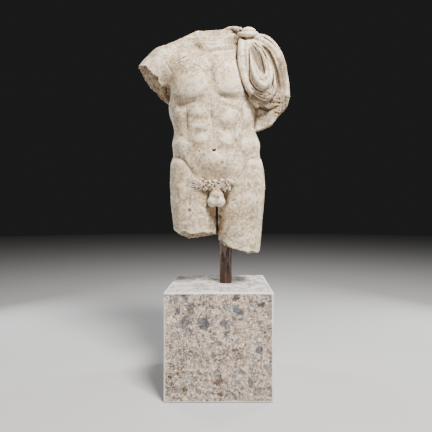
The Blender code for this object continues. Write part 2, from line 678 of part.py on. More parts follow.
def material(name, colour, roughness, metallic=0.0):
    made = bpy.data.materials.new(name)
    made.use_nodes = True
    shader = made.node_tree.nodes["Principled BSDF"]
    shader.inputs["Base Color"].default_value = (*colour, 1)
    shader.inputs["Roughness"].default_value = roughness
    shader.inputs["Metallic"].default_value = metallic
    return made


def marble_torso(socket):
    points, quads = skin(sculpture_distance, CLAY_LOW, CLAY_HIGH, CLAY_STEP)
    torso = mesh_object("torso", points, quads)
    thin = torso.modifiers.new("Thin", "DECIMATE")
    thin.ratio = MARBLE_TRIANGLES / (2 * len(quads))
    thin.use_collapse_triangulate = True
    cut_by(torso, socket)
    torso.data.materials.append(material("marble", (0.64, 0.60, 0.53), 0.75))


def plinth_block(socket):
    bm = bmesh.new()
    bmesh.ops.create_cube(bm, size=BLOCK_SIDE, matrix=Matrix.Translation(Vector((0, 0, BLOCK_SIDE / 2))))
    mesh = bpy.data.meshes.new("block")
    bm.to_mesh(mesh)
    bm.free()
    block = bpy.data.objects.new("block", mesh)
    bpy.context.scene.collection.objects.link(block)
    edge = block.modifiers.new("Worn edge", "BEVEL")
    edge.width = BLOCK_EDGE
    edge.segments = 2
    cut_by(block, socket)
    block.data.materials.append(material("conglomerate", (0.50, 0.45, 0.42), 0.6))


def main():
    for obj in list(bpy.data.objects):
        bpy.data.objects.remove(obj)
    foot = BLOCK_SIDE - ROD_FOOT_DEPTH
    bore = ROD_RADIUS + SOCKET_GAP
    marble_torso(cutter(round_bar("torso_socket", bore, BLOCK_SIDE + 0.05, ROD_TOP + SOCKET_GAP)))
    plinth_block(cutter(round_bar("block_socket", bore, foot - SOCKET_GAP, BLOCK_SIDE + 0.05)))
    rod = round_bar("rod", ROD_RADIUS, foot, ROD_TOP)
    rod.data.materials.append(material("rusty_steel", (0.16, 0.12, 0.10), 0.65, 0.6))


if __name__ == "__main__":
    main()
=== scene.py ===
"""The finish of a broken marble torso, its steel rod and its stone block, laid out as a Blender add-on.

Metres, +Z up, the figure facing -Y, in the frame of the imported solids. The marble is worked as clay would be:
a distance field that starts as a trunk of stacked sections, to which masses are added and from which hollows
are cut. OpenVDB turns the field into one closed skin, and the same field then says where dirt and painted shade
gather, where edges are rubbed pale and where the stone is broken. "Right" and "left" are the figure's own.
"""

import functools
import math
from concurrent.futures import ThreadPoolExecutor

import bpy
import numpy as np
import openvdb
from bpy.props import FloatProperty, FloatVectorProperty, IntProperty, PointerProperty
from mathutils import Euler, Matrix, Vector


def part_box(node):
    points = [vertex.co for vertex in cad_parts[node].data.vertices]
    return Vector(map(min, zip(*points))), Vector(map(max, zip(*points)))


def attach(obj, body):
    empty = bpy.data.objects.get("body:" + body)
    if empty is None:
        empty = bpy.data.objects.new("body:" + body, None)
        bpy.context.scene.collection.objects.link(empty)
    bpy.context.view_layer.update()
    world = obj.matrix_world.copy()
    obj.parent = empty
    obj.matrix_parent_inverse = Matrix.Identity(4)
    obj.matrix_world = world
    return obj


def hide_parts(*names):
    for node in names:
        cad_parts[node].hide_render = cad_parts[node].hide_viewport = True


bl_info = {
    "name": "Marble torso on a block",
    "version": (1, 0, 0),
    "blender": (4, 5, 0),
    "location": "3D View > Sidebar > Torso",
    "description": "Carves the marble torso, forges its rod, cuts its block and sets the stage",
    "category": "Add Mesh",
}

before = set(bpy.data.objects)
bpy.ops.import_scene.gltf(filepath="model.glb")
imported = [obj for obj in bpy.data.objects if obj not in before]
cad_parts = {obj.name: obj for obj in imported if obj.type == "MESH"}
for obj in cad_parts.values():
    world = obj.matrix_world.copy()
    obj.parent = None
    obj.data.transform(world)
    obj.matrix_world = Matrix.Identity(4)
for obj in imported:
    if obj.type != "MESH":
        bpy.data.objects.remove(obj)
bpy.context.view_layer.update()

REACH = 0.05        # how far around a shape the clay is worked
FAR = 1.0           # a distance beyond any that matters
SLAB = 40000        # points worked out at a time
THREADS = 4
TABLE_SIDE = 32     # cells after which the noise repeats


# ---------------------------------------------------------------- sizes, curves, blends and noise
def metres(sizes):
    """Sizes given in millimetres, however nested, in metres."""
    if isinstance(sizes, (list, tuple)):
        return type(sizes)(metres(size) for size in sizes)
    return round(sizes / 1000, 7)


def smooth_path(points, per_span=6):
    """Points read from a Catmull-Rom curve through the given ones."""
    knots = np.asarray(points, float)
    ends = np.vstack([2 * knots[0] - knots[1], knots, 2 * knots[-1] - knots[-2]])
    t = np.linspace(0, 1, per_span, endpoint=False)[:, None]
    spans = [
        0.5 * (2 * b + (c - a) * t + (2 * a - 5 * b + 4 * c - d) * t**2 + (3 * b - a - 3 * c + d) * t**3)
        for a, b, c, d in zip(ends, ends[1:], ends[2:], ends[3:])
    ]
    return np.vstack([*spans, knots[-1:]])


def path_distance(points, path):
    """Each point's distance from a path, and how far along the path, in knots, its nearest place is."""
    nearest = np.full(len(points), np.inf, np.float32)
    place = np.zeros(len(points), np.float32)
    for i, (a, b) in enumerate(zip(path, path[1:])):
        along = b - a
        t = np.clip((points - a) @ along / (along @ along), 0, 1)
        gap = np.linalg.norm(points - a - t[:, None] * along, axis=1)
        closer = gap < nearest
        nearest[closer] = gap[closer]
        place[closer] = (i + t)[closer]
    return nearest, place


def blend(a, b, k):
    """The union of two distances, rounded over a width k."""
    h = np.clip(0.5 + 0.5 * (b - a) / k, 0, 1)
    return b * (1 - h) + a * h - k * h * (1 - h)


def ramp(value, low, high):
    """0 below low, 1 above high, and a smooth step between."""
    t = np.clip((value - low) / (high - low), 0, 1)
    return t * t * (3 - 2 * t)


TABLE = (TABLE_SIDE, TABLE_SIDE, TABLE_SIDE)
NOISE_TABLE = np.random.default_rng(7).uniform(-1, 1, TABLE).astype(np.float32)
PIT_TABLE = np.random.default_rng(5).uniform(0, 1, (*TABLE, 4)).astype(np.float32)


def noise(points, size):
    """Smooth noise from -1 to 1 with lumps of about the given size."""
    place = points / size + 0.37
    cell = np.floor(place).astype(int)
    t = place - cell
    t = t * t * (3 - 2 * t)
    total = np.zeros(len(points), np.float32)
    for corner in np.ndindex(2, 2, 2):
        weight = np.prod(np.where(corner, t, 1 - t), axis=1)
        x, y, z = ((cell + corner) % TABLE_SIDE).T
        total += weight * NOISE_TABLE[x, y, z]
    return total


def pits(points, spacing, share):
    """Round pits, one at most in each cell of a grid: 1 in a pit's middle and 0 outside it."""
    place = points / spacing + 0.35 * noise(points, 0.55 * spacing)[:, None]
    cell = np.floor(place).astype(int)
    x, y, z = (cell % TABLE_SIDE).T
    chance = PIT_TABLE[x, y, z]
    middle = 0.35 + 0.30 * chance[:, :3]
    girth = 0.14 + 0.20 * chance[:, 0]
    gap = np.linalg.norm(place - cell - middle, axis=1)
    return np.where(chance[:, 3] < share, ramp(-gap, -girth, -0.3 * girth), 0)


# ---------------------------------------------------------------- solid shapes, as (low, high, distance)
def ellipsoid(centre, radii, turn=(0, 0, 0)):
    """An ellipsoid turned by Euler angles in degrees."""
    centre, radii = np.array(centre), np.array(radii)
    axes = np.array(Euler([math.radians(a) for a in turn]).to_matrix())

    def distance(points):
        local = (points - centre) @ axes
        size = np.linalg.norm(local / radii, axis=1)
        steepness = np.linalg.norm(local / radii**2, axis=1)
        return size * (size - 1) / np.maximum(steepness, 1e-4)

    reach = radii.max()
    return centre - reach, centre + reach, distance


def limb(points, radii, per_span=4):
    """A rounded tube along a smooth path, with a radius at each of its points."""
    path = smooth_path(points, per_span)
    girth = smooth_path(np.array(radii)[:, None], per_span)[:, 0]

    def distance(where):
        gap, place = path_distance(where, path)
        return gap - np.interp(place, np.arange(len(girth)), girth)

    reach = max(radii)
    return path.min(axis=0) - reach, path.max(axis=0) + reach, distance


def column(sections, power):
    """A pile of level sections (z, x, y, half width, depth in front, depth behind), squarer as power
    grows."""
    table = smooth_path(sections, 10)

    def distance(points):
        x, y, half, front, back = (np.interp(points[:, 2], table[:, 0], c) for c in table[:, 1:].T)
        across = points[:, 0] - x
        ahead = points[:, 1] - y
        depth = np.where(ahead < 0, front, back)
        size = ((np.abs(across) / half) ** power + (np.abs(ahead) / depth) ** power) ** (1 / power)
        radial = np.hypot(across, ahead)
        side = radial - radial / np.maximum(size, 1e-4)
        ends = np.maximum(table[0, 0] - points[:, 2], points[:, 2] - table[-1, 0])
        return np.maximum(side, ends)

    low = (table[:, [1, 2, 0]] - table[:, [3, 4, 0]] * (1, 1, 0)).min(axis=0)
    high = (table[:, [1, 2, 0]] + table[:, [3, 5, 0]] * (1, 1, 0)).max(axis=0)
    return low, high, distance


# ---------------------------------------------------------------- the clay
class Clay:
    """Points in the air and in the stone: each one's distance from the skin, below 0 in the stone, whether
    the skin nearest to it is that of a break, and how far dirt and painted shade darken it."""

    def __init__(self, points):
        self.points = points
        self.low = points.min(axis=0)
        self.high = points.max(axis=0)
        self.distance = np.full(len(points), FAR, np.float32)
        self.broken = np.zeros(len(points), np.float32)
        self.soiled = np.zeros(len(points), np.float32)

    def near(self, low, high):
        """The indices of the points within reach of a box."""
        low, high = np.array(low) - REACH, np.array(high) + REACH
        if (low > self.high).any() or (high < self.low).any():
            return np.empty(0, int)
        return np.flatnonzero(((self.points >= low) & (self.points <= high)).all(axis=1))

    def add(self, shape, soft):
        """Adds a shape, with a fillet of the given width."""
        low, high, distance = shape
        here = self.near(low, high)
        if len(here):
            self.distance[here] = blend(self.distance[here], distance(self.points[here]), soft)

    def cut(self, shape, soft):
        """Cuts a shape away, with an edge rounded over the given width."""
        low, high, distance = shape
        here = self.near(low, high)
        if len(here):
            self.distance[here] = -blend(-self.distance[here], distance(self.points[here]), soft)

    def join(self, other, soft):
        """Adds what another clay holds."""
        self.broken = np.where(other.distance < self.distance, other.broken, self.broken)
        self.distance = blend(self.distance, other.distance, soft)

    def stroke(self, path, width, height, side=-1, fade=0.0, soil_and_shade=0.0):
        """Raises (or, below 0, cuts) a line drawn in front view as (x, z) points, on the front (side -1) or
        on the back (side 1), and darkens it: with dirt along some lines, with painted shade along others. It
        dies away over the share of its length given by fade at each end."""
        path = smooth_path(path)
        low = np.array((path[:, 0].min(), -FAR, path[:, 1].min())) + (REACH - 3 * width)
        high = np.array((path[:, 0].max(), FAR, path[:, 1].max())) - (REACH - 3 * width)
        here = self.near(low, high)
        if not len(here):
            return
        points = self.points[here]
        gap, place = path_distance(points[:, [0, 2]], path)
        share = place / (len(path) - 1)
        strength = ramp(np.minimum(share, 1 - share), -1e-3, fade) if fade else 1.0
        strength = strength * ramp(side * points[:, 1], 0.0, 0.03)
        self.distance[here] -= height * strength * np.exp(-((gap / width) ** 2))
        if soil_and_shade:
            dirt_and_shade = soil_and_shade * strength * np.exp(-((gap / (1.3 * width)) ** 2))
            self.soiled[here] = np.maximum(self.soiled[here], dirt_and_shade)

    def pad(self, centre, size, height, turn=0.0, side=-1, power=2.0, flat=0.0):
        """Raises (or, below 0, sinks) a low mound drawn in front view at (x, z). It reaches size (across, up,
        down), is turned by degrees, gets squarer as power grows, and is level over the share flat."""
        across, up, down = size
        reach = max(size) * 1.2 - REACH
        low = (centre[0] - reach, -FAR, centre[1] - reach)
        high = (centre[0] + reach, FAR, centre[1] + reach)
        here = self.near(low, high)
        if not len(here):
            return
        points = self.points[here]
        c, s = math.cos(math.radians(turn)), math.sin(math.radians(turn))
        x, z = points[:, 0] - centre[0], points[:, 2] - centre[1]
        aside, above = (c * x + s * z) / across, c * z - s * x
        above = above / np.where(above > 0, up, down)
        spread = (np.abs(aside) ** power + np.abs(above) ** power) ** (1 / power)
        strength = ramp(-spread, -1.0, -flat) * ramp(side * points[:, 1], 0.0, 0.03)
        self.distance[here] -= height * strength

    def soil_and_shade(self, centre, size, amount):
        """Darkens the front around (x, z), most in the middle: dirt in some places, painted shade in others."""
        low = (centre[0] - size[0], -FAR, centre[1] - size[1])
        high = (centre[0] + size[0], 0.03, centre[1] + size[1])
        here = self.near(low, high)
        points = self.points[here]
        spread = np.hypot((points[:, 0] - centre[0]) / size[0], (points[:, 2] - centre[1]) / size[1])
        strength = ramp(-spread, -1.25, -0.4) * ramp(-points[:, 1], -0.03, 0.0)
        self.soiled[here] = np.maximum(self.soiled[here], amount * strength)

    def break_off(self, planes, rough, stained=1.0):
        """Keeps what lies behind every one of the planes (point, normal). The cuts are rough, and stained."""
        cut = np.full(len(self.points), -FAR, np.float32)
        for point, normal in planes:
            normal = np.array(normal) / np.linalg.norm(normal)
            cut = np.maximum(cut, (self.points - np.array(point)) @ normal)
        here = np.flatnonzero((np.abs(cut) < REACH) & (self.distance < REACH))
        if len(here):
            points = self.points[here]
            lumps = noise(points, 0.030) + 0.5 * noise(points, 0.012)
            flakes = np.abs(noise(points, 0.016)) + 0.5 * np.abs(noise(points, 0.007))
            cut[here] += rough * (lumps + 0.8 * flakes - 0.3)
        self.broken = np.where(cut > self.distance, stained, self.broken)
        self.distance = np.maximum(self.distance, cut)

    def weather(self):
        """Softens and pits the skin all over, as long exposure does."""
        here = np.flatnonzero(np.abs(self.distance) < 0.012)
        if len(here):
            points = self.points[here]
            waves = 0.0009 * noise(points, 0.055) + 0.0005 * noise(points, 0.019)
            holes = 0.0022 * pits(points, 0.034, 0.20) + 0.0014 * pits(points, 0.013, 0.12)
            self.distance[here] += waves + holes


ROD_LOW, ROD_HIGH = (np.array(corner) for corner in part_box("rod"))
BLOCK_LOW, BLOCK_HIGH = (np.array(corner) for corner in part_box("block"))
MARBLE_LOW, MARBLE_HIGH = (np.array(corner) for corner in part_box("torso"))
ROD_MIDDLE = (ROD_LOW + ROD_HIGH) / 2
ROD_RADIUS = float(ROD_HIGH[0] - ROD_LOW[0]) / 2
SOCKET_GAP = 0.001


def rod_hole(clay):
    """The hole up into the left thigh that takes the rod, a hair wider than it."""
    bore = ROD_RADIUS + SOCKET_GAP
    foot = MARBLE_LOW[2] - bore
    top = ROD_HIGH[2] + SOCKET_GAP

    def distance(points):
        radial = np.hypot(points[:, 0] - ROD_MIDDLE[0], points[:, 1] - ROD_MIDDLE[1])
        return np.maximum(radial - bore, points[:, 2] - top)

    low = np.array((ROD_MIDDLE[0] - bore, ROD_MIDDLE[1] - bore, foot))
    high = np.array((ROD_MIDDLE[0] + bore, ROD_MIDDLE[1] + bore, top))
    clay.cut((low, high, distance), soft=0.0015)


# ---------------------------------------------------------------- the figure
RIGHT, LEFT = -1, 1
BACK = 1


def midline(z):
    """The x of the figure's midline at a height: it leans towards his right as it climbs."""
    heights = (0.78, 0.885, 1.00, 1.09, 1.30, 1.40)
    return float(np.interp(z, heights, (-0.010, -0.018, -0.024, -0.031, -0.031, -0.022)))


def trunk(clay):
    """The trunk from the crotch to the collar, as level sections."""
    sections = [
        (650, -8, 0, 90, 50, 60),
        (700, -8, 0, 150, 70, 85),
        (740, -7, 0, 178, 90, 100),
        (790, -8, 0, 182, 98, 98),
        (840, -11, 0, 179, 102, 88),
        (880, -11.5, 0, 168, 102, 76),
        (920, -13.5, 0, 170, 102, 70),
        (975, -17.5, 0, 159, 100, 72),
        (1030, -22, 0, 170, 102, 82),
        (1090, -22.5, 0, 179, 104, 96),
        (1150, -25, 0, 180, 102, 106),
        (1210, -27, 0, 172, 90, 104),
        (1255, -28, 0, 155, 70, 94),
        (1290, -28, 0, 130, 47, 78),
        (1325, -27, 0, 90, 25, 60),
    ]
    clay.add(column(metres(sections), power=2.35), soft=0.001)


def thigh(clay, sections, breaks):
    """One thigh, broken off above the knee."""
    leg = Clay(clay.points)
    leg.add(column(metres(sections), power=2.3), soft=0.001)
    leg.break_off(breaks, rough=0.006, stained=0.75)
    clay.join(leg, soft=0.014)


def thighs(clay):
    """The two thighs, which touch along a narrow groove."""
    thigh(
        clay,
        [
            (520, -92, -10, 79, 84, 80),
            (600, -94, -8, 84, 90, 88),
            (680, -98, -4, 89, 94, 96),
            (760, -98, 0, 91, 94, 96),
            (840, -96, 5, 82, 80, 52),
        ],
        [((-0.09, -0.09, 0.580), (0.06, -0.14, -0.98)), ((-0.168, -0.03, 0.588), (-0.62, -0.05, -0.78))],
    )
    thigh(
        clay,
        [
            (480, 76, 0, 81, 82, 80),
            (560, 78.5, 0, 83.5, 88, 86),
            (640, 82, 2, 87, 92, 94),
            (720, 84, 4, 91, 96, 100),
            (800, 82, 8, 88, 86, 80),
            (850, 80, 10, 78, 74, 50),
        ],
        [
            ((0.010, -0.05, 0.545), (-0.62, -0.10, -0.78)),
            ((0.070, -0.05, 0.515), (-0.24, -0.06, -0.97)),
            ((0.120, -0.05, 0.506), (0.03, -0.10, -0.99)),
            ((0.157, -0.02, 0.515), (0.72, 0.00, -0.69)),
        ],
    )
    clay.add(limb([(-0.009, -0.012, 0.700), (-0.008, -0.012, 0.625)], (0.036, 0.030)), soft=0.010)
    clay.stroke([(-0.010, 0.690), (-0.0095, 0.640), (-0.008, 0.560)], 0.0028, -0.018)
    clay.pad((-0.110, 0.661), (0.013, 0.014, 0.014), -0.0045)
    clay.stroke([(-0.106, 0.716), (-0.108, 0.689)], 0.006, -0.0012, soil_and_shade=0.4)


def buttocks(clay):
    """The buttocks, hollowed at their sides, with the fold under each and the cleft between them."""
    for side in (RIGHT, LEFT):
        x = midline(0.76) + side * 0.080
        centre = (x, 0.050, 0.768 + side * 0.005)
        clay.add(ellipsoid(centre, (0.086, 0.084, 0.096), (20, 0, side * 8)), soft=0.02)
        fold_below = [(x - side * 0.05, 0.676), (x, 0.668), (x + side * 0.06, 0.685)]
        clay.stroke(fold_below, 0.013, -0.006, BACK, 0.4)
        clay.pad((x + side * 0.050, 0.780), (0.040, 0.060, 0.055), -0.004, side=BACK)
    clay.stroke([(-0.012, 0.87), (-0.010, 0.78), (-0.009, 0.66)], 0.011, -0.013, BACK, 0.25)


def shoulder_slopes(clay):
    """The slopes from the neck out to the shoulders, and the shoulder blades."""
    for side in (RIGHT, LEFT):
        middle = midline(1.30)
        inner, half_way, outer = (middle + side * reach for reach in (0.055, 0.125, 0.185))
        points = [(inner, 0.026, 1.334), (half_way, 0.020, 1.295), (outer, 0.010, 1.257)]
        clay.add(limb(points, (0.040, 0.042, 0.047), per_span=12), soft=0.03)
        blade = (middle + side * 0.098, 0.066, 1.17)
        clay.add(ellipsoid(blade, (0.072, 0.046, 0.092), (0, 0, -side * 8)), soft=0.03)


def back_forms(clay):
    """The furrow of the spine between its two columns of muscle, and the edges of the shoulder blades."""
    spine = [(midline(z), z) for z in (1.27, 1.18, 1.08, 0.98, 0.90, 0.845)]
    clay.stroke(spine, 0.013, -0.010, BACK, 0.15)
    for side in (RIGHT, LEFT):
        column_path = ((0.036, 1.08), (0.036, 0.98), (0.040, 0.88))
        clay.stroke([(midline(z) + side * x, z) for x, z in column_path], 0.020, 0.007, BACK, 0.4)
        edge = ((0.052, 1.225), (0.060, 1.15), (0.085, 1.085), (0.13, 1.07))
        clay.stroke([(midline(1.2) + side * x, z) for x, z in edge], 0.020, -0.005, BACK, 0.45)
        flank = ((0.150, 1.06), (0.125, 1.00), (0.090, 0.93), (0.060, 0.88))
        clay.stroke([(midline(1.0) + side * x, z) for x, z in flank], 0.024, -0.004, BACK, 0.45)
        ridge = ((0.050, 1.235), (0.100, 1.255), (0.150, 1.262))
        clay.stroke([(midline(1.2) + side * x, z) for x, z in ridge], 0.014, 0.004, BACK, 0.4)
        clay.pad((midline(0.86) + side * 0.040, 0.862), (0.014, 0.014, 0.014), -0.004, side=BACK)


def breast(clay):
    """The two breast muscles, the furrow of the breastbone, and the collar bones."""
    clay.pad((-0.108, 1.112), (0.092, 0.135, 0.060), 0.011, -2, power=2.3)
    clay.pad((-0.106, 1.110), (0.088, 0.125, 0.056), 0.006, -6, power=2.3, flat=0.35)
    clay.pad((0.050, 1.124), (0.088, 0.135, 0.055), 0.011, 5, power=2.3)
    clay.pad((0.048, 1.122), (0.084, 0.125, 0.051), 0.007, 6, power=2.4, flat=0.5)
    right_edge = [(-0.038, 1.090), (-0.088, 1.066), (-0.120, 1.056), (-0.146, 1.052), (-0.170, 1.062)]
    left_edge = [(-0.018, 1.096), (0.007, 1.083), (0.036, 1.074), (0.098, 1.070)]
    # The soil laid along these edges paints the shade under the breast muscles.
    for edge in (right_edge, left_edge):
        clay.stroke(edge, 0.013, -0.0035, fade=0.25, soil_and_shade=0.20)
        clay.stroke(edge, 0.0045, -0.0012, fade=0.35, soil_and_shade=0.22)
    clay.pad((-0.141, 1.052), (0.034, 0.016, 0.018), -0.0025)
    clay.stroke([(-0.031, 1.24), (-0.031, 1.15), (-0.028, 1.08)], 0.015, -0.0045, fade=0.4)
    clay.stroke([(-0.19, 1.262), (-0.13, 1.268), (-0.075, 1.272)], 0.014, 0.004, fade=0.3)
    under_bone = [(-0.160, 1.217), (-0.138, 1.232), (-0.108, 1.243), (-0.085, 1.248)]
    clay.stroke(under_bone, 0.005, -0.004, fade=0.2)
    clay.pad((-0.198, 1.212), (0.036, 0.040, 0.040), 0.0035)


def belly(clay):
    """The straight muscles of the belly in their rows, the ribs' arch, the flanks and the lower belly."""
    for centre, size, height in metres((
        ((-78, 1027), (44, 37, 33), 6),
        ((-76, 972), (45, 27, 25), 5),
        ((-60, 924), (50, 31, 33), 4.5),
        ((30, 1004), (58, 49, 51), 9),
        ((24, 920), (48, 36, 34), 4.5),
        ((-146, 896), (58, 54, 50), 6),
        ((112, 902), (62, 66, 58), 7),
        ((-152, 1000), (36, 74, 66), 3),
        ((106, 1020), (36, 56, 70), 6),
    )):
        clay.pad(centre, size, height, power=2.3, flat=0.05)
    clay.pad((-0.010, 0.846), (0.092, 0.050, 0.080), 0.012, power=2.6)
    # The soil laid along these furrows paints the shade in them.
    for path, width, depth in metres((
        ([(-29, 1070), (-32, 1029), (-28, 1005), (-22, 975), (-18, 905)], 9, 4.5),
        ([(-31, 1040), (-31, 1010), (-27, 995)], 6, 3),
        ([(-120, 1054), (-120, 1000), (-119, 953), (-113, 925)], 8, 5.5),
        ([(-172, 944), (-140, 936), (-114, 924), (-94, 906), (-60, 897)], 9, 5.5),
        ([(-112, 999), (-75, 996), (-38, 1002)], 10, 1),
        ([(-106, 951), (-70, 950), (-28, 955)], 10, 3.5),
        ([(-15, 966), (20, 958), (50, 952), (82, 951)], 9, 5),
        ([(-11, 892), (22, 889), (56, 893)], 10, 2),
        ([(90, 1010), (90, 970), (82, 945), (70, 915), (56, 893)], 12, 4.5),
        ([(0, 1057), (36, 1043), (70, 1030), (100, 1000)], 6, 3),
    )):
        clay.stroke(path, 1.2 * width, -0.72 * depth, fade=0.35, soil_and_shade=0.16)
    clay.pad((-0.019, 0.880), (0.008, 0.005, 0.005), -0.009)


def marks(clay):
    """Old damage: nicks and scratches on the chest, the layered break of the neck, and pits."""
    for path, width, depth, soil_and_shade in (
        ([(-158, 1211), (-136, 1223), (-121, 1232), (-95, 1236)], 3, 2.2, 0.7),
        ([(-154, 1202), (-140, 1212)], 2.8, 2, 0.8),
        ([(-158, 1240), (-149, 1236)], 2.8, 2, 0.7),
        ([(-88, 1196), (-72, 1188), (-60, 1176)], 2.6, 1.8, 0.7),
        ([(-66, 1172), (-52, 1168), (-40, 1158)], 2.8, 1.8, 0.7),
        ([(-100, 1182), (-90, 1190)], 2.6, 1.5, 0.6),
        ([(-120.5, 1062), (-119.5, 1010), (-119, 955)], 2, 2.2, 0.6),
        ([(-29, 1080), (-30, 1030), (-27, 990), (-20, 930)], 2.4, 1.4, 0.35),
        ([(-55, 1312), (-19, 1306), (18, 1311)], 3, 2, 0.3),
        ([(-68, 1326), (-30, 1318), (10, 1322)], 3, 2.2, 0.3),
        ([(-50, 1342), (-15, 1336), (25, 1340)], 3, 1.8, 0.3),
        ([(-28, 883), (-19, 882.5), (-10, 884)], 3.2, 7.5, 0.6),
        ([(-98, 748), (-104, 744)], 2.2, 1.5, 0.7),
        ([(137, 735), (140, 715)], 2.2, 1, 0.4),
        ([(142, 698), (141, 682)], 2.6, 1.2, 0.5),
    ):
        clay.stroke(metres(path), metres(width), -metres(depth), fade=0.2, soil_and_shade=soil_and_shade)
    scatter = np.random.default_rng(3)
    for _ in range(34):
        along, off = scatter.uniform(0, 1), scatter.normal(0, 0.012)
        x, z = -0.155 + 0.115 * along, 1.222 - 0.062 * along + off
        length, turn = scatter.uniform(0.001, 0.006), math.radians(scatter.uniform(-75, -15))
        end = (x + length * math.cos(turn), z + length * math.sin(turn))
        clay.stroke([(x, z), end], scatter.uniform(0.0014, 0.0024), -0.0014, soil_and_shade=scatter.uniform(0.4, 0.95))
    for centre, size, depth in metres((
        ((-74, 879), 4.5, 5),
        ((-55, 865), 5, 2.5),
        ((62, 920), 5.5, 3.5),
        ((11, 835), 6, 1.2),
        ((-110, 661), 7, 2),
    )):
        clay.pad(centre, (size, size, size), -depth)
        clay.soil_and_shade(centre, (1.5 * size, 1.5 * size), 0.6)


def groin(clay):
    """The creases over the hips and down the groins."""
    right_hip = [(-0.190, 0.872), (-0.159, 0.862), (-0.135, 0.850)]
    left_hip = [(0.170, 0.872), (0.140, 0.860), (0.112, 0.853)]
    right_groin = right_hip + [(-0.116, 0.826), (-0.094, 0.797), (-0.074, 0.774)]
    left_groin = left_hip + [(0.101, 0.838), (0.091, 0.812), (0.069, 0.783), (0.046, 0.762)]
    # The soil laid along these creases paints the shade in them.
    for path, depth in ((right_groin, 0.0035), (left_groin, 0.0025)):
        clay.stroke(path, 0.012, -depth, fade=0.15, soil_and_shade=0.22)
        clay.stroke(path, 0.0048, -0.8 * depth, fade=0.3, soil_and_shade=0.35)


def neck(clay):
    """The stump of the neck, broken back from the throat, and the hollow at its foot."""
    stump = Clay(clay.points)
    stump.add(limb([(-0.027, 0.015, 1.27), (-0.016, 0.012, 1.42)], (0.070, 0.066)), soft=0.001)
    throat = ((-0.02, -0.035, 1.322), (-0.05, -0.76, 0.65))
    top = ((-0.02, 0.02, 1.374), (0.0, 0.10, 0.99))
    corner = ((-0.078, 0.02, 1.362), (-0.55, 0.0, 0.84))
    stump.break_off([throat, top, corner], rough=0.002, stained=0.12)
    clay.join(stump, soft=0.018)
    # The soil along the foot, and the patch at -83 mm on his right, paint the shade at the foot of the neck.
    foot = ((-101, 1306), (-79, 1282), (-60, 1267), (-34, 1261), (0, 1268), (66, 1280))
    clay.stroke(metres(foot), 0.008, -0.007, fade=0.1, soil_and_shade=0.40)
    clay.soil_and_shade((-0.083, 1.284), (0.030, 0.026), 0.55)
    clay.soil_and_shade((0.050, 1.290), (0.022, 0.020), 0.50)
    clay.stroke([(-0.066, 1.290), (-0.036, 1.280), (0.000, 1.284), (0.040, 1.292)], 0.005, 0.003, fade=0.3)


def right_arm(clay):
    """The stump of the lowered right arm, broken just below the shoulder, with the hollow of the armpit."""
    arm = Clay(clay.points)
    shoulder = [(-0.185, 0.006, 1.230), (-0.213, 0.006, 1.219), (-0.248, 0.002, 1.180), (-0.290, 0.0, 1.120)]
    arm.add(limb(shoulder, (0.066, 0.076, 0.079, 0.070), per_span=12), soft=0.001)
    front = [(-0.130, -0.050, 1.215), (-0.205, -0.026, 1.200)]
    clay.add(limb(front, (0.042, 0.050), per_span=8), soft=0.030)
    behind = [(-0.245, 0.045, 1.165), (-0.205, 0.048, 1.122), (-0.178, 0.044, 1.092)]
    arm.add(limb(behind, (0.045, 0.036, 0.024), per_span=8), soft=0.03)
    arm.break_off([((-0.2700, 0.05, 1.163), (-0.70, -0.15, -0.69))], rough=0.007)
    clay.join(arm, soft=0.030)
    clay.cut(ellipsoid((-0.212, -0.020, 1.098), (0.030, 0.048, 0.046), (0, 30, 0)), soft=0.012)


def left_arm(clay):
    """The left upper arm, hanging and drawn back, broken above the elbow."""
    arm = Clay(clay.points)
    upper = [(0.145, 0.010, 1.270), (0.178, 0.014, 1.245), (0.205, 0.016, 1.150)]
    lower = [(0.208, 0.018, 1.060), (0.203, 0.022, 0.95)]
    arm.add(limb(upper + lower, (0.060, 0.067, 0.064, 0.058, 0.056)), soft=0.001)
    inside = [(0.158, -0.012, 1.10), (0.156, -0.014, 1.03), (0.152, -0.012, 0.95)]
    arm.add(limb(inside, (0.030, 0.030, 0.030)), soft=0.012)
    arm.break_off(
        [((0.236, 0.0, 1.037), (0.76, 0.06, -0.65)), ((0.180, 0.0, 0.987), (0.36, 0.10, -0.92))],
        rough=0.003,
    )
    clay.join(arm, soft=0.008)


def sex(clay):
    """What is left of the sex, below the hair: a short stub over one worn mass, scarred where it broke."""
    clay.add(limb([(-0.0215, -0.091, 0.708), (-0.0240, -0.097, 0.6930)], (0.0160, 0.0195)), soft=0.003)
    clay.add(limb([(0.0010, -0.091, 0.708), (0.0040, -0.097, 0.6935)], (0.0155, 0.0190)), soft=0.012)
    clay.add(ellipsoid((-0.0100, -0.093, 0.7175), (0.0225, 0.019, 0.0150)), soft=0.007)
    under = [(-0.030, 0.701), (-0.018, 0.696), (-0.005, 0.699), (0.006, 0.709)]
    clay.stroke(under, 0.0036, -0.0016, fade=0.35, soil_and_shade=0.28)
    clay.pad((-0.018, 0.708), (0.009, 0.008, 0.007), -0.0012, -25, flat=0.2)
    clay.soil_and_shade((-0.008, 0.722), (0.034, 0.014), 0.50)
    clay.soil_and_shade((-0.008, 0.692), (0.036, 0.022), 0.42)


def swelling(clay):
    """The low swelling that the hair grows on."""
    path = [(-0.078, 0.763), (-0.050, 0.752), (-0.012, 0.747), (0.025, 0.753), (0.046, 0.765)]
    clay.stroke(path, 0.022, 0.0080)


def hair_ground(clay):
    """What the locks of hair are laid on."""
    groin_front(clay)
    sex(clay)
    swelling(clay)


def lock_of_hair(clay, place, length, lean, bend):
    """One lock of hair: thick at the root, bent to one side and pointed."""
    x, y, z = place
    points = []
    for step in range(4):
        points.append((x, y + 0.0004 * step, z))
        angle = math.radians(lean + bend * step)
        x += length / 3 * math.sin(angle)
        z -= length / 3 * math.cos(angle)
    clay.add(limb(points, (0.0040, 0.0052, 0.0048, 0.0026), per_span=2), soft=0.0014)


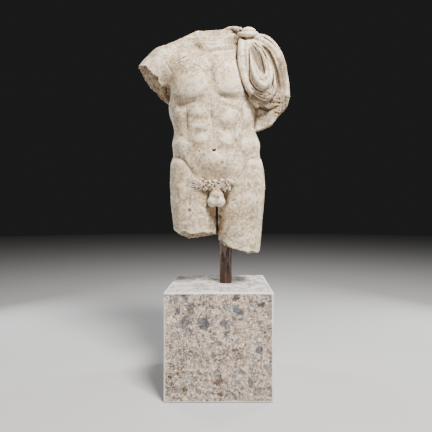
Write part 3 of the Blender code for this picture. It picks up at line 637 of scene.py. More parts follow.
def hair(clay):
    """A crescent of short bent locks on the swelling, and a fan of thin locks on the right thigh."""
    swelling(clay)
    shake = np.random.default_rng(12)
    rows = ((0.7385, 9, -0.050, 0.034), (0.745, 10, -0.060, 0.042), (0.753, 11, -0.070, 0.047))
    rows += ((0.761, 11, -0.076, 0.050), (0.770, 9, -0.062, 0.042))
    for z, count, low_x, high_x in rows:
        for x in np.linspace(low_x, high_x, count):
            lift = 1.1 * (x + 0.012) ** 2
            x += shake.uniform(-0.004, 0.004)
            lift += shake.uniform(-0.004, 0.004)
            place = laid_on(hair_ground, ((x, z + lift),), shake.uniform(-0.0005, 0.0025))[0]
            way = shake.choice((-1, 1))
            length = shake.uniform(0.010, 0.016)
            lean = way * shake.uniform(20, 95)
            lock_of_hair(clay, place, length, lean, bend=-way * shake.uniform(20, 60))
    fan = ((-96, 766, -4), (-100, 758, -1), (-100, 750, 2), (-95, 742, 5), (-87, 735, 7))
    for x, z, drop in metres(fan):
        middle = z + drop / 2
        lock = ((x, z), (x + 0.009, middle - 0.002), (x + 0.018, middle + 0.001), (x + 0.028, z + drop))
        clay.add(limb(laid_on(hair_ground, lock, 0.001), (0.0014, 0.0026, 0.0032, 0.0036)), soft=0.0010)
    clay.soil_and_shade((-0.014, 0.750), (0.090, 0.036), 0.50)


# ---------------------------------------------------------------- the cloak
KNOT = (0.108, -0.062, 1.331)

# Folds of the cloak on the front, as (path in front view, radii along it, how far its middle stands off the
# cloth): the broad band, the two sides of the loop inside it, the fold beyond them, and two over the arm.
FOLDS = (
    ([(87, 1296), (86, 1258), (87, 1212), (90, 1178), (97, 1144), (111, 1112), (132, 1087), (156, 1070),
     (182, 1062), (208, 1066), (230, 1082)], (16, 20.5, 21.5, 20.5, 18, 15.5, 12.5, 9), -9),
    ([(110, 1262), (112.5, 1235), (116, 1205), (121, 1178), (129, 1150), (142, 1127), (159, 1115),
     (176, 1121)], (2, 4, 6, 8.5, 11.5, 12.5, 10.5), 0),
    ([(126, 1296), (153, 1268), (174, 1235), (184, 1199), (187, 1164), (181, 1133), (168, 1121)], (5,
     9.5, 12.5, 13, 12.5, 11), -2),
    ([(137, 1296), (167, 1266), (190, 1237), (203, 1210), (210, 1179), (210, 1142), (203, 1108),
     (188, 1082), (168, 1068)], (5, 7.5, 9.5, 9.5, 9.5, 8.5), -1),
    ([(141, 1328), (169, 1313), (196, 1290), (216, 1263), (230, 1235), (241, 1201), (248, 1168),
     (252, 1140), (254, 1110)], (9, 15, 16.5, 16.5, 16, 13), -8),
    ([(147, 1341), (180, 1334), (209, 1310), (230, 1274), (244, 1236), (254, 1195), (262, 1154),
     (267, 1108)], (8, 12, 12, 12, 10, 8), -4),
)
# Hollows between the folds: inside the loop, and beyond it, along the arm.
HOLLOWS = (
    ([(117, 1280), (127, 1254), (137, 1229), (146, 1204), (154, 1180), (162, 1156), (168, 1142)], (4,
     12, 17, 18, 15, 10, 5), 1),
    ([(150, 1297), (170, 1283), (188, 1263), (203, 1232), (216, 1194), (225, 1150), (231, 1113)], (3, 6,
     8, 9, 9.5, 6.5), 1),
)
# Creases cut into the folds on the front, as (path, width, depth, soil and painted shade). The last column
# darkens the stone along each crease: dirt, and painted shade in the folds. The first and the fourth, wide and
# barely cut, paint the shade inside the loop and under the strap's lower edge; the third paints the deep shadow
# beside the inner fold.
CREASES = (
    ([(117, 1280), (127, 1254), (138, 1229), (148, 1204), (157, 1180), (166, 1150)], 12, 1, 1.3),
    ([(150, 1297), (170, 1283), (188, 1263), (203, 1232), (216, 1194), (225, 1150), (231, 1113)], 7, 6,
     1.5),
    ([(137, 1264), (150, 1235), (158, 1205), (162, 1175), (166, 1148)], 4.2, 6, 1.6),
    ([(118, 1090), (128, 1082), (142, 1074), (165, 1066), (192, 1068)], 11, 0.5, 1.25),
    ([(67, 1288), (65, 1253), (65, 1212), (70, 1178), (79, 1140), (92, 1110), (107, 1092), (124, 1077),
     (140, 1066), (154, 1057)], 3, 3, 0.5),
    ([(109, 1292), (109.5, 1262), (109, 1235), (109, 1205), (109, 1178), (110, 1150), (116, 1126),
     (130, 1107), (150, 1096), (171, 1093), (188, 1101)], 2.8, 4.5, 0.7),
    ([(118, 1286), (131, 1262), (143, 1236), (152, 1208), (160, 1180)], 2.6, 3, 0.9),
    ([(124, 1286), (142, 1262), (156, 1238), (165, 1212), (170, 1184), (172, 1156)], 2.4, 3, 0.9),
    ([(136, 1287), (162, 1258), (182, 1230), (194, 1205), (199, 1176), (199, 1144), (193, 1116),
     (182, 1098)], 3, 5, 0.85),
    ([(140, 1062), (160, 1051), (184, 1046), (210, 1052), (230, 1068)], 4.5, 4.5, 0.8),
    ([(113, 1112), (127, 1097), (145, 1086), (168, 1082)], 2.4, 3.6, 0.9),
    ([(120, 1095), (138, 1080), (158, 1071), (186, 1070)], 2.6, 3.4, 0.9),
    ([(176, 1092), (196, 1090), (212, 1102), (222, 1120)], 2.6, 3.4, 0.8),
    ([(128, 1288), (140, 1273), (152, 1262)], 2.4, 4, 0.8),
    ([(163, 1333), (180, 1326), (197, 1313), (209, 1300), (221, 1284)], 3.2, 6.5, 0.9),
    ([(232, 1262), (244, 1226), (252, 1186), (256, 1150)], 3.2, 3, 0.7),
    ([(81, 1296), (83, 1260), (84, 1222)], 6, -1.5, 0.0),
    ([(66, 1318), (84, 1306), (108, 1301), (134, 1306)], 4, 3, 0.8),
    ([(76.5, 1366), (79, 1352), (81, 1338)], 2.6, 5, 0.9),
)
BACK_FOLDS = (
    ([(120, 1335), (127, 1275), (138, 1200), (133, 1130), (140, 1050)], 9, 8.5),
    ([(135, 1335), (152, 1285), (164, 1220), (161, 1160)], 5, 5),
    ([(148, 1335), (178, 1285), (194, 1200), (190, 1120), (182, 1050)], 8.5, 8.5),
    ([(162, 1332), (204, 1280), (221, 1210), (219, 1140), (210, 1070)], 6, 6),
    ([(176, 1330), (222, 1275), (244, 1200), (247, 1120)], 4.5, 4),
    ([(190, 1320), (235, 1250), (252, 1170), (250, 1080)], 7, 5),
)


def soil_and_shade_patches(clay):
    """Where the stone has taken a warmer, darker tone: mostly stains, but the patches under the strap's lower
    edge and in the right armpit are painted shade.
    """
    for centre, size, amount in (
        ((-12, 800), (105, 60), 0.38),
        ((-168, 1010), (40, 100), 0.3),
        ((-12, 620), (45, 100), 0.35),
        ((190, 1010), (55, 60), 0.52),
        ((-20, 960), (130, 110), 0.16),
        ((-28, 1180), (34, 90), 0.27),
        # painted shade under the strap's lower edge
        ((150, 1078), (50, 30), 0.5),
        # painted shade in the right armpit
        ((-200, 1105), (34, 42), 0.35),
        ((-150, 600), (45, 22), 0.35),
        ((130, 620), (50, 80), 0.25),
        ((-150, 720), (50, 60), 0.25),
        ((20, 1080), (100, 20), 0.2),
        # painted shade under the strap's lower edge
        ((185, 1078), (45, 28), 0.75),
        ((238, 1180), (28, 100), 0.8),
        ((210, 1110), (40, 50), 0.45),
        ((-100, 1225), (70, 45), 0.28),
        ((200, 1290), (35, 30), 0.4),
        ((155, 1275), (35, 18), 0.45),
    ):
        clay.soil_and_shade(metres(centre), metres(size), amount)


def body(clay):
    """The figure without its cloak, its hair and its sex."""
    trunk(clay)
    thighs(clay)
    buttocks(clay)
    shoulder_slopes(clay)
    back_forms(clay)
    breast(clay)
    belly(clay)
    groin(clay)
    neck(clay)
    right_arm(clay)
    left_arm(clay)
    marks(clay)


def groin_front(clay):
    """The part of the body that lies under the hair."""
    trunk(clay)
    thighs(clay)
    groin(clay)


def cloth_ground(clay):
    """The bunched cloth that the folds lie on, over the chest, the arm and the back of the shoulder."""
    bunch = [(0.106, -0.035, 1.310), (0.124, -0.062, 1.230), (0.142, -0.066, 1.150), (0.150, -0.056, 1.102)]
    sleeve = [(0.118, 0.015, 1.320), (0.170, 0.015, 1.296), (0.204, 0.018, 1.200), (0.218, 0.022, 1.110)]
    fall = [(0.120, 0.030, 1.325), (0.145, 0.070, 1.255), (0.165, 0.085, 1.150), (0.170, 0.080, 1.060)]
    clay.add(limb(bunch, (0.030, 0.047, 0.058, 0.052)), soft=0.010)
    clay.add(limb(sleeve, (0.038, 0.048, 0.056, 0.058)), soft=0.012)
    behind = Clay(clay.points)
    behind.add(limb(fall, (0.036, 0.040, 0.042, 0.038)), soft=0.001)
    behind.break_off([((0.165, 0.080, 1.046), (0.15, 0.10, -0.98))], rough=0.004)
    clay.join(behind, soft=0.015)


def cloak_front(clay):
    """What the folds of the cloak are laid on."""
    body(clay)
    cloth_ground(clay)


@functools.cache
def laid_on(build, path, lift):
    """A path drawn in front view, as (x, z), laid on the front of what build makes and lifted off it."""
    depths = np.linspace(-0.22, 0.06, 57)
    clay = Clay(np.array([(x, y, z) for x, z in path for y in depths]))
    build(clay)
    levels = clay.distance.reshape(len(path), -1)
    places = []
    for (x, z), level in zip(path, levels):
        i = max(1, int(np.argmax(level < 0))) if (level < 0).any() else len(depths) - 1
        share = np.clip(level[i - 1] / (level[i - 1] - level[i]), 0, 1) if level[i] < 0 else 1.0
        places.append((x, depths[i - 1] + share * (depths[i] - depths[i - 1]) - lift, z))
    return tuple(places)


def fold(path, radii, lift):
    """A fold of the cloak laid on the cloth."""
    along = np.linspace(0, len(radii) - 1, len(path))
    return limb(laid_on(cloak_front, tuple(path), lift), np.interp(along, range(len(radii)), radii))


def cloak(clay):
    """The cloak: a knot at the shoulder, bands that hang from it in loops, and folds over the arm."""
    cloth_ground(clay)
    for item in metres(FOLDS):
        clay.add(fold(*item), soft=0.003)
    for item in metres(HOLLOWS):
        clay.cut(fold(*item), soft=0.006)
    for path, width, depth, soil_and_shade in CREASES:
        clay.stroke(metres(path), metres(width), -metres(depth), fade=0.2, soil_and_shade=soil_and_shade)
    for path, width, depth in metres(BACK_FOLDS):
        clay.stroke(path, width, -depth, BACK, 0.12)
    knot(clay)
    crumble(clay, (0.238, 1.060), 0.055, 0.009)


def crumble(clay, centre, reach, depth):
    """Eats a rough patch into the front of the stone around (x, z)."""
    low = (centre[0] - reach, -FAR, centre[1] - reach)
    high = (centre[0] + reach, 0.03, centre[1] + reach)
    here = clay.near(low, high)
    points = clay.points[here]
    spread = np.hypot(points[:, 0] - centre[0], points[:, 2] - centre[1]) / reach
    strength = ramp(-spread, -1.1, -0.5) * ramp(-points[:, 1], -0.03, 0.0)
    bite = 0.9 * np.abs(noise(points, 0.013)) + 0.6 * np.abs(noise(points, 0.006))
    bite = bite + 0.25 * pits(points, 0.010, 0.5)
    clay.distance[here] += depth * strength * bite
    clay.broken[here] = np.maximum(clay.broken[here], 0.65 * strength)
    clay.soil_and_shade(centre, (reach, reach), 0.60)


def knot(clay):
    """The knot on the shoulder: a mound with a roll over its front, and the band that runs to the neck."""
    x, y, z = KNOT
    clay.add(ellipsoid((x + 0.003, y + 0.009, z + 0.005), (0.0290, 0.023, 0.0165), (0, 4, 0)), soft=0.003)
    roll = [(-0.034, 0.012, 0.001), (-0.018, -0.006, -0.009), (0.000, -0.012, -0.012)]
    roll += [(0.018, -0.007, -0.009), (0.033, 0.010, 0.001)]
    around = [(x + across, y + back, z + up) for across, back, up in roll]
    clay.add(limb(around, (0.0060, 0.0095, 0.0110, 0.0100, 0.0065)), soft=0.003)
    clay.soil_and_shade((x, z - 0.002), (0.036, 0.010), 0.40)
    leaf = [(0.016, 0.000, 1.368), (0.036, -0.003, 1.3725), (0.057, -0.012, 1.369), (0.080, -0.036, 1.354)]
    under = [(0.036, 0.006, 1.348), (0.068, -0.004, 1.340), (0.098, -0.024, 1.328)]
    clay.add(limb(under, (0.018, 0.021, 0.020)), soft=0.012)
    clay.add(limb(leaf, (0.004, 0.008, 0.0095, 0.0090)), soft=0.004)
    clay.stroke([(0.022, 1.358), (0.048, 1.353), (0.076, 1.344)], 0.003, -0.005, fade=0.15)


def carve(points):
    """The finished sculpture as clay, at some points."""
    clay = Clay(points)
    body(clay)
    sex(clay)
    hair(clay)
    cloak(clay)
    rod_hole(clay)
    soil_and_shade_patches(clay)
    clay.weather()
    return clay


def carved(points):
    """Each point's distance from the marble's skin, whether a break made it, and how far dirt and painted
    shade darken it, worked out slab by slab."""
    slabs = np.array_split(points, max(1, len(points) // SLAB))
    with ThreadPoolExecutor(THREADS) as pool:
        clays = list(pool.map(carve, slabs))
    kinds = ("distance", "broken", "soiled")
    return tuple(np.concatenate([getattr(clay, kind) for clay in clays]) for kind in kinds)


# ---------------------------------------------------------------- from the field to a skin
BAND = 1.8      # cells on either side of the skin that are read again, more finely


def skin(low, high, step, halvings=2):
    """The closed skin of the sculpture, as (points, quads), read ever more finely near the skin."""
    wide = step * 2**halvings
    count = np.ceil((high - low) / wide).astype(int) + 1
    index = np.indices(count).reshape(3, -1).T
    level = carved(low + index * wide)[0].reshape(count)
    for _ in range(halvings):
        band_width = BAND * wide
        wide /= 2
        for axis in range(3):
            level = np.repeat(level, 2, axis=axis)
        band = np.flatnonzero(np.abs(level) < band_width)
        index = np.stack(np.unravel_index(band, level.shape), axis=-1)
        level.reshape(-1)[band] = carved(low + index * wide)[0]
    grid = openvdb.FloatGrid(FAR)
    grid.copyFromArray(level)
    points, quads = without_bubbles(*grid.convertToQuads())
    return low + points * step, quads


def without_bubbles(points, quads):
    """The largest of the skins, without the small bubbles that folds may seal in."""
    label = np.arange(len(points))
    settled = False
    while not settled:
        spread = label.copy()
        np.minimum.at(spread, quads, label[quads].min(axis=1, keepdims=True))
        spread = spread[spread]
        settled = (spread == label).all()
        label = spread
    kept = label == np.bincount(label).argmax()
    renumbered = np.cumsum(kept) - 1
    return points[kept], renumbered[quads[kept[quads[:, 0]]]]


def smoothed(points, edges, rounds):
    """The points after each has moved half way to the middle of its neighbours, some times over."""
    count = np.bincount(edges.ravel(), minlength=len(points))[:, None]
    a, b = edges.T
    for _ in range(rounds):
        pulls = [np.bincount(a, p[b], len(p)) + np.bincount(b, p[a], len(p)) for p in points.T]
        points = 0.5 * points + 0.5 * np.stack(pulls, axis=-1) / count
    return points


# How far from the skin its hollows are looked for, each with its share of the answer.
HOLLOW_READS = ((0.005, 0.35), (0.012, 0.35), (0.030, 0.30))
# Rounds of smoothing that level a crease and a fold, and the depth at which each counts in full.
CREASE_ROUNDS, CREASE_DEPTH = 8, 0.0006
FOLD_ROUNDS, FOLD_DEPTH = 90, 0.0040


def look_over(points, normals, edges):
    """What the material has to know at each point of the skin: how shut in it is, how far it lies in a fold
    (or, below 0, on a ridge) at two sizes, how broken it is and how far dirt and painted shade darken it."""
    order = np.argsort(points[:, 0])
    back = np.argsort(order)
    shut_in = np.zeros(len(points), np.float32)
    for reach, share in HOLLOW_READS:
        gap = carved((points + normals * reach)[order])[0][back]
        shut_in += share * (1 - np.clip(gap / reach, 0, 1))
    broken, soiled = (values[back] for values in carved((points - normals * 0.001)[order])[1:])
    near = smoothed(points, edges, CREASE_ROUNDS)
    far = smoothed(near, edges, FOLD_ROUNDS)
    crease = ((near - points) * normals).sum(axis=1) / CREASE_DEPTH
    fold = ((far - points) * normals).sum(axis=1) / FOLD_DEPTH
    crease, fold = np.clip(crease, -1, 1), np.clip(fold, -1, 1)
    return {"hollow": shut_in, "crease": crease, "fold": fold, "broken": broken, "soiled": soiled}


# ---------------------------------------------------------------- short calls that build node trees
class Wiring:
    """Adds nodes to a tree. Its calls take plain values or other nodes' sockets, and give back sockets."""

    def __init__(self, tree):
        self.tree = tree

    def feed(self, socket, value):
        """Gives a socket a plain value, or links another node's socket to it."""
        if isinstance(value, bpy.types.NodeSocket):
            self.tree.links.new(value, socket)
        else:
            socket.default_value = value

    def put(self, kind, inputs=None, **settings):
        """Adds a node, with its inputs by their names or numbers, and gives back its outputs."""
        node = self.tree.nodes.new(kind)
        for name, value in settings.items():
            setattr(node, name, value)
        for key, value in (inputs or {}).items():
            self.feed(node.inputs[key], value)
        return node.outputs

    def use(self, group, **inputs):
        """Places a shader group and gives back its outputs."""
        return self.put("ShaderNodeGroup", inputs, node_tree=bpy.data.node_groups[group])

    def maths(self, operation, *values):
        """A number worked out from one, two or three others."""
        return self.put("ShaderNodeMath", dict(enumerate(values)), operation=operation)[0]

    add = functools.partialmethod(maths, "ADD")
    subtract = functools.partialmethod(maths, "SUBTRACT")
    multiply = functools.partialmethod(maths, "MULTIPLY")
    multiply_add = functools.partialmethod(maths, "MULTIPLY_ADD")
    divide = functools.partialmethod(maths, "DIVIDE")
    larger = functools.partialmethod(maths, "MAXIMUM")

    def vector(self, operation, *values):
        """A vector worked out from others."""
        return self.put("ShaderNodeVectorMath", dict(enumerate(values)), operation=operation)[0]

    def length(self, vector):
        return self.put("ShaderNodeVectorMath", {0: vector}, operation="LENGTH")["Value"]

    def scaled(self, vector, factor):
        return self.put("ShaderNodeVectorMath", {0: vector, "Scale": factor}, operation="SCALE")[0]

    def parts(self, vector):
        """The X, Y and Z of a vector."""
        return self.put("ShaderNodeSeparateXYZ", {0: vector})

    def threefold(self, value):
        """A vector, or a grey, with the same number in all its parts."""
        return self.put("ShaderNodeCombineXYZ", {0: value, 1: value, 2: value})[0]

    def window(self, value, low, high):
        """0 up to low, 1 from high on, and a smooth step between."""
        inputs = {"Value": value, "From Min": low, "From Max": high}
        return self.put("ShaderNodeMapRange", inputs, interpolation_type="SMOOTHSTEP")[0]

    def fractal(self, where, scale, detail=4.0, roughness=0.55, distortion=0.0):
        """Layered noise about 0.5."""
        return self.put("ShaderNodeTexNoise", {
            "Vector": where, "Scale": scale, "Detail": detail, "Roughness": roughness,
            "Distortion": distortion,
        })["Fac"]

    def mix(self, share, a, b, blend_type="MIX"):
        """Two colours, mixed."""
        return self.put("ShaderNodeMix", {0: share, 6: a, 7: b}, data_type="RGBA", blend_type=blend_type)[2]

    def laid(self, share, ground, paint, mask):
        """A ground with a share of paint laid on it through a mask."""
        return self.mix(self.multiply(mask, share), ground, paint)

    def stretched(self, where, scale):
        """The place at which a pattern is read, stretched."""
        return self.put("ShaderNodeMapping", {"Vector": where, "Scale": scale})[0]

    def attribute(self, name):
        """A number kept at each point of the mesh."""
        return self.put("ShaderNodeAttribute", attribute_name=name)["Fac"]

    def mottled(self, where, ground, cloud, scale, cover, softness):
        """The colour of soft clouds in a ground."""
        return self.use(
            "Mottle", Where=where, Ground=ground, Cloud=cloud, Scale=scale, Cover=cover, Softness=softness
        )["Colour"]

    def frayed(self, where, value, start, end, fray, scale):
        """A mask that rises from a value's start to its end, with a frayed edge."""
        inputs = {"Where": where, "Value": value, "From": start, "To": end, "Fray": fray, "Scale": scale}
        return self.use("Frayed mask", **inputs)["Mask"]

    def specks(self, where, scale, size, drift):
        """A mask of small grains."""
        return self.use("Specks", Where=where, Scale=scale, Size=size, Drift=drift)["Mask"]


def socket_kind(default):
    """The kind of socket for a default value, or the kind itself, where there is no default."""
    if isinstance(default, tuple):
        return "Color" if len(default) == 4 else "Vector"
    return {float: "Float", int: "Int"}.get(type(default), default)


def new_tree(name, kind, outputs, inputs):
    """An empty node group: its wiring, what it is given and its results. Outputs map names to kinds of
    socket, and inputs map names to default values, or to kinds of socket."""
    tree = bpy.data.node_groups.new(name, kind)
    for label, default in inputs.items():
        socket_type = "NodeSocket" + socket_kind(default)
        made = tree.interface.new_socket(label, in_out="INPUT", socket_type=socket_type)
        if not isinstance(default, str):
            made.default_value = default
    for label, socket in outputs.items():
        tree.interface.new_socket(label, in_out="OUTPUT", socket_type="NodeSocket" + socket)
    given = tree.nodes.new("NodeGroupInput").outputs
    return Wiring(tree), given, tree.nodes.new("NodeGroupOutput").inputs


# ---------------------------------------------------------------- effects that materials share
def mottle_group():
    """Soft clouds of one colour in another."""
    wires, given, result = new_tree("Mottle", "ShaderNodeTree", {"Colour": "Color", "Mask": "Float"}, {
        "Where": "Vector", "Ground": (0.5, 0.5, 0.5, 1), "Cloud": (0.6, 0.6, 0.6, 1), "Scale": 8.0,
        "Cover": 0.5, "Softness": 0.1,
    })
    cloud = wires.fractal(given["Where"], given["Scale"], detail=6.0, roughness=0.6, distortion=0.6)
    edge = wires.subtract(1.0, given["Cover"])
    low, high = wires.subtract(edge, given["Softness"]), wires.add(edge, given["Softness"])
    mask = wires.window(cloud, low, high)
    wires.feed(result["Colour"], wires.mix(mask, given["Ground"], given["Cloud"]))
    wires.feed(result["Mask"], mask)


def specks_group():
    """Small dark grains, gathered in drifts."""
    wires, given, result = new_tree("Specks", "ShaderNodeTree", {"Mask": "Float"}, {
        "Where": "Vector", "Scale": 200.0, "Size": 0.25, "Drift": 12.0,
    })
    inputs = {"Vector": given["Where"], "Scale": given["Scale"], "Randomness": 1.0}
    grains = wires.put("ShaderNodeTexVoronoi", inputs, feature="F1")
    chance = wires.maths("FRACT", wires.multiply(grains["Color"], 7.13))
    girth = wires.multiply(given["Size"], chance)
    dot = wires.window(grains["Distance"], girth, wires.multiply(girth, 0.5))
    drift = wires.window(wires.fractal(given["Where"], given["Drift"], 3.0), 0.46, 0.62)
    wires.feed(result["Mask"], wires.multiply(dot, drift))


def cracks_group():
    """Thin wandering lines, broken off here and there."""
    wires, given, result = new_tree("Fine cracks", "ShaderNodeTree", {"Mask": "Float"}, {
        "Where": "Vector", "Scale": 12.0, "Width": 0.02, "Cover": 0.4,
    })
    where = given["Where"]
    sway = wires.put("ShaderNodeTexNoise", {"Vector": where, "Scale": 18.0, "Detail": 4.0})["Color"]
    sway = wires.scaled(wires.vector("SUBTRACT", sway, (0.5, 0.5, 0.5)), 0.055)
    inputs = {"Vector": wires.vector("ADD", where, sway), "Scale": given["Scale"]}
    gap = wires.put("ShaderNodeTexVoronoi", inputs, feature="DISTANCE_TO_EDGE")["Distance"]
    line = wires.window(gap, given["Width"], 0.0)
    edge = wires.subtract(1.0, given["Cover"])
    there = wires.window(wires.fractal(where, 9.0, 3.0), edge, wires.add(edge, 0.08))
    wires.feed(result["Mask"], wires.multiply(line, there))


def fringe_group():
    """A mask whose edge is frayed by noise: dirt and painted shade that creep out of a hollow, or wear along an
    edge.
    """
    wires, given, result = new_tree("Frayed mask", "ShaderNodeTree", {"Mask": "Float"}, {
        "Where": "Vector", "Value": 0.0, "From": 0.3, "To": 0.7, "Fray": 0.3, "Scale": 40.0,
    })
    rough = wires.subtract(wires.fractal(given["Where"], given["Scale"], 5.0, 0.6), 0.5)
    value = wires.multiply_add(rough, given["Fray"], given["Value"])
    wires.feed(result["Mask"], wires.window(value, given["From"], given["To"]))


def pebbles_group():
    """Rounded stones set in a ground: where they are, and a number from 0 to 1 for the colour of each."""
    wires, given, result = new_tree("Pebbles", "ShaderNodeTree", {"Mask": "Float", "Tone": "Float"}, {
        "Where": "Vector", "Scale": 20.0, "Share": 0.3, "Size": 0.4, "Ragged": 0.1,
    })
    where, scale = given["Where"], given["Scale"]
    cells = wires.put("ShaderNodeTexVoronoi", {"Vector": where, "Scale": scale}, feature="F1")
    draw = wires.put("ShaderNodeSeparateColor", {0: cells["Color"]})
    wobble = wires.subtract(wires.fractal(where, wires.multiply(scale, 3.0)), 0.5)
    gap = wires.multiply_add(wobble, given["Ragged"], cells["Distance"])
    girth = wires.multiply(given["Size"], wires.multiply_add(draw["Green"], 0.6, 0.4))
    stone = wires.window(gap, girth, wires.multiply(girth, 0.82))
    chosen = wires.maths("LESS_THAN", draw["Red"], given["Share"])
    wires.feed(result["Mask"], wires.multiply(stone, chosen))
    wires.feed(result["Tone"], draw["Blue"])


def one_pebble_group():
    """A single stone of given place and size, cut by the block's front face."""
    wires, given, result = new_tree("One pebble", "ShaderNodeTree", {"Mask": "Float"}, {
        "Where": "Vector", "Place": (0, 0, 0), "Turn": (0, 0, 0), "Size": (0.01, 0.01, 0.01), "Ragged": 1.6,
    })
    local = wires.vector("SUBTRACT", given["Where"], given["Place"])
    inputs = {"Vector": local, "Rotation": given["Turn"]}
    local = wires.put("ShaderNodeVectorRotate", inputs, rotation_type="EULER_XYZ", invert=True)[0]
    gap = wires.length(wires.vector("DIVIDE", local, given["Size"]))
    wobble = wires.subtract(wires.fractal(given["Where"], 75.0, 5.0, 0.65), 0.5)
    gap = wires.multiply_add(wobble, given["Ragged"], gap)
    wires.feed(result["Mask"], wires.window(gap, 1.06, 0.90))


# ---------------------------------------------------------------- the finishes
def new_finish(name, **plain):
    """An empty material, its wiring, the place on the object and the sockets of its Principled shader."""
    material = bpy.data.materials.new(name)
    material.use_nodes = True
    wires = Wiring(material.node_tree)
    shader = next(node for node in material.node_tree.nodes if node.type == "BSDF_PRINCIPLED").inputs
    for socket, value in plain.items():
        wires.feed(shader[socket.replace("_", " ")], value)
    return material, wires, wires.put("ShaderNodeTexCoord")["Object"], shader


def raise_grain(wires, shader, height, depth):
    """Gives a material its fine relief."""
    inputs = {"Height": height, "Strength": 1.0, "Distance": depth}
    wires.feed(shader["Normal"], wires.put("ShaderNodeBump", inputs)["Normal"])


def marble_finish(choice):
    """Cream marble: cloudy and freckled, darkened tan to brown in folds, creases and hollows and on faces that
    look down, partly by stains and partly by painted shade, pale on its ridges, dull brown and coarse where it
    is broken."""
    material, wires, where, shader = new_finish("Weathered marble", Specular_IOR_Level=0.35)
    names = ("hollow", "crease", "fold", "broken", "soiled")
    hollow, crease, fold, broken, soiled = (wires.attribute(name) for name in names)
    down = wires.parts(wires.put("ShaderNodeNewGeometry")["Normal"])["Z"]
    raised = wires.multiply(crease, -1.0)

    clouds = functools.partial(wires.mottled, where)
    frayed = functools.partial(wires.frayed, where)

    colour = clouds(choice.pale, choice.cream, 8.0, 0.50, 0.10)
    for paint, share, scale, cover, softness in (
        (choice.tan, 0.42, 13.0, 0.48, 0.16), (choice.grey, 0.52, 30.0, 0.49, 0.13),
        (choice.rubbed, 0.55, 44.0, 0.46, 0.10), (choice.tan, 0.46, 70.0, 0.46, 0.09),
        (choice.grey, 0.52, 112.0, 0.46, 0.08), (choice.brown, 0.52, 145.0, 0.37, 0.06),
    ):
        colour = wires.mix(share, colour, clouds(colour, paint, scale, cover, softness))
    # Tan, soil, brown and grime are laid into folds, creases and hollows, and the tan more thickly on faces
    # that look down: partly dirt and stain, partly painted shade where shade falls.
    shut = wires.add(fold, wires.multiply(hollow, 1.1))
    drift = wires.multiply_add(wires.fractal(where, 8.0, 3.0), 4.8, -2.25)
    drift = wires.multiply_add(down, -0.35, drift)
    stain_and_shade = wires.multiply_add(wires.larger(shut, -0.25), 0.8, drift)
    dirt_and_shade = frayed(soiled, 0.05, 1.00, 0.55, 45.0)
    grime_and_shade = frayed(hollow, 0.22, 0.85, 0.60, 70.0)
    for share, paint, mask in (
        (0.54, choice.tan, frayed(stain_and_shade, 0.05, 1.70, 0.9, 26.0)),
        (0.70, choice.soil_and_shade, frayed(shut, 0.55, 1.75, 0.8, 50.0)),
        (0.88, choice.soil_and_shade, dirt_and_shade),
        (0.55, choice.brown, frayed(wires.larger(crease, -0.05), 0.20, 1.40, 2.2, 75.0)),
        (0.85, choice.grime_and_shade, grime_and_shade),
    ):
        colour = wires.laid(share, colour, paint, mask)
    fine = wires.multiply_add(wires.fractal(where, 125.0, 5.0, 0.85), 2.9, -0.47)
    blotches = wires.multiply_add(wires.fractal(where, 60.0, 4.0, 0.65, 0.8), 1.8, -0.9)
    colour = wires.mix(1.0, colour, wires.threefold(wires.add(fine, blotches)), "MULTIPLY")
    clean = wires.subtract(1.0, wires.larger(grime_and_shade, dirt_and_shade))
    ridge = wires.multiply(frayed(raised, 0.42, 1.00, 0.45, 60.0), clean)
    colour = wires.laid(0.60, colour, choice.rubbed, ridge)

    fracture = clouds(choice.fracture, choice.fracture_dark, 30.0, 0.52, 0.16)
    fracture = clouds(fracture, choice.fracture_dark, 130.0, 0.45, 0.06)
    # Grime darkens the creases of the broken faces: painted shade, with dirt.
    fracture = wires.laid(0.45, fracture, choice.grime_and_shade, frayed(crease, 0.0, 0.9, 0.9, 120.0))
    fracture = wires.laid(0.35, fracture, choice.cream, frayed(raised, 0.2, 1.1, 1.2, 130.0))
    colour = wires.mix(broken, colour, fracture)
    cracks = wires.use("Fine cracks", Where=where, Scale=11.0, Width=0.020, Cover=0.47)["Mask"]
    colour = wires.laid(0.55, colour, choice.brown, cracks)
    specks = wires.specks(where, 140.0, 0.40, 13.0)
    wires.feed(shader["Base Color"], wires.laid(0.70, colour, choice.brown, specks))

    gloss = wires.multiply_add(wires.fractal(where, 60.0), 0.22, 0.50)
    wires.feed(shader["Roughness"], wires.multiply_add(broken, 0.20, gloss))
    rugged = wires.multiply(wires.fractal(where, 48.0, 6.0, 0.7), wires.multiply(broken, 7.0))
    height = wires.add(wires.fractal(where, 120.0, 5.0, 0.68), rugged)
    height = wires.multiply_add(specks, -0.8, height)
    raise_grain(wires, shader, wires.multiply_add(cracks, -0.6, height), 0.0013)
    return material


def steel_finish(choice):
    """Old round bar: brown rust, darker and greyer where mill scale is left, orange towards its foot."""
    material, wires, where, shader = new_finish("Rusty steel", Specular_IOR_Level=0.4)
    along = wires.stretched(where, (1.0, 1.0, 0.10))
    rust = wires.mottled(where, choice.rust, choice.dark, 42.0, 0.50, 0.10)
    scale = wires.use(
        "Mottle", Where=along, Ground=rust, Cloud=choice.scale, Scale=85.0, Cover=0.50, Softness=0.05
    )
    height = wires.parts(where)["Z"]
    block_top = BLOCK_HIGH[2]
    low = wires.frayed(where, height, block_top + 0.095, block_top + 0.020, 0.10, 34.0)
    specks = wires.specks(along, 260.0, 0.5, 25.0)
    joint = wires.window(height, block_top + 0.006, block_top + 0.001)
    colour = wires.laid(0.9, scale["Colour"], choice.orange, low)
    for mask in (specks, joint):
        colour = wires.laid(0.8, colour, choice.dark, mask)
    bare = wires.multiply(scale["Mask"], wires.subtract(1.0, low))
    wires.feed(shader["Base Color"], colour)
    wires.feed(shader["Metallic"], wires.multiply(bare, 0.30))
    wires.feed(shader["Roughness"], wires.multiply_add(bare, -0.30, 0.80))
    grain = wires.fractal(along, 320.0, 5.0, 0.7)
    raise_grain(wires, shader, wires.subtract(grain, specks), 0.0006)
    return material


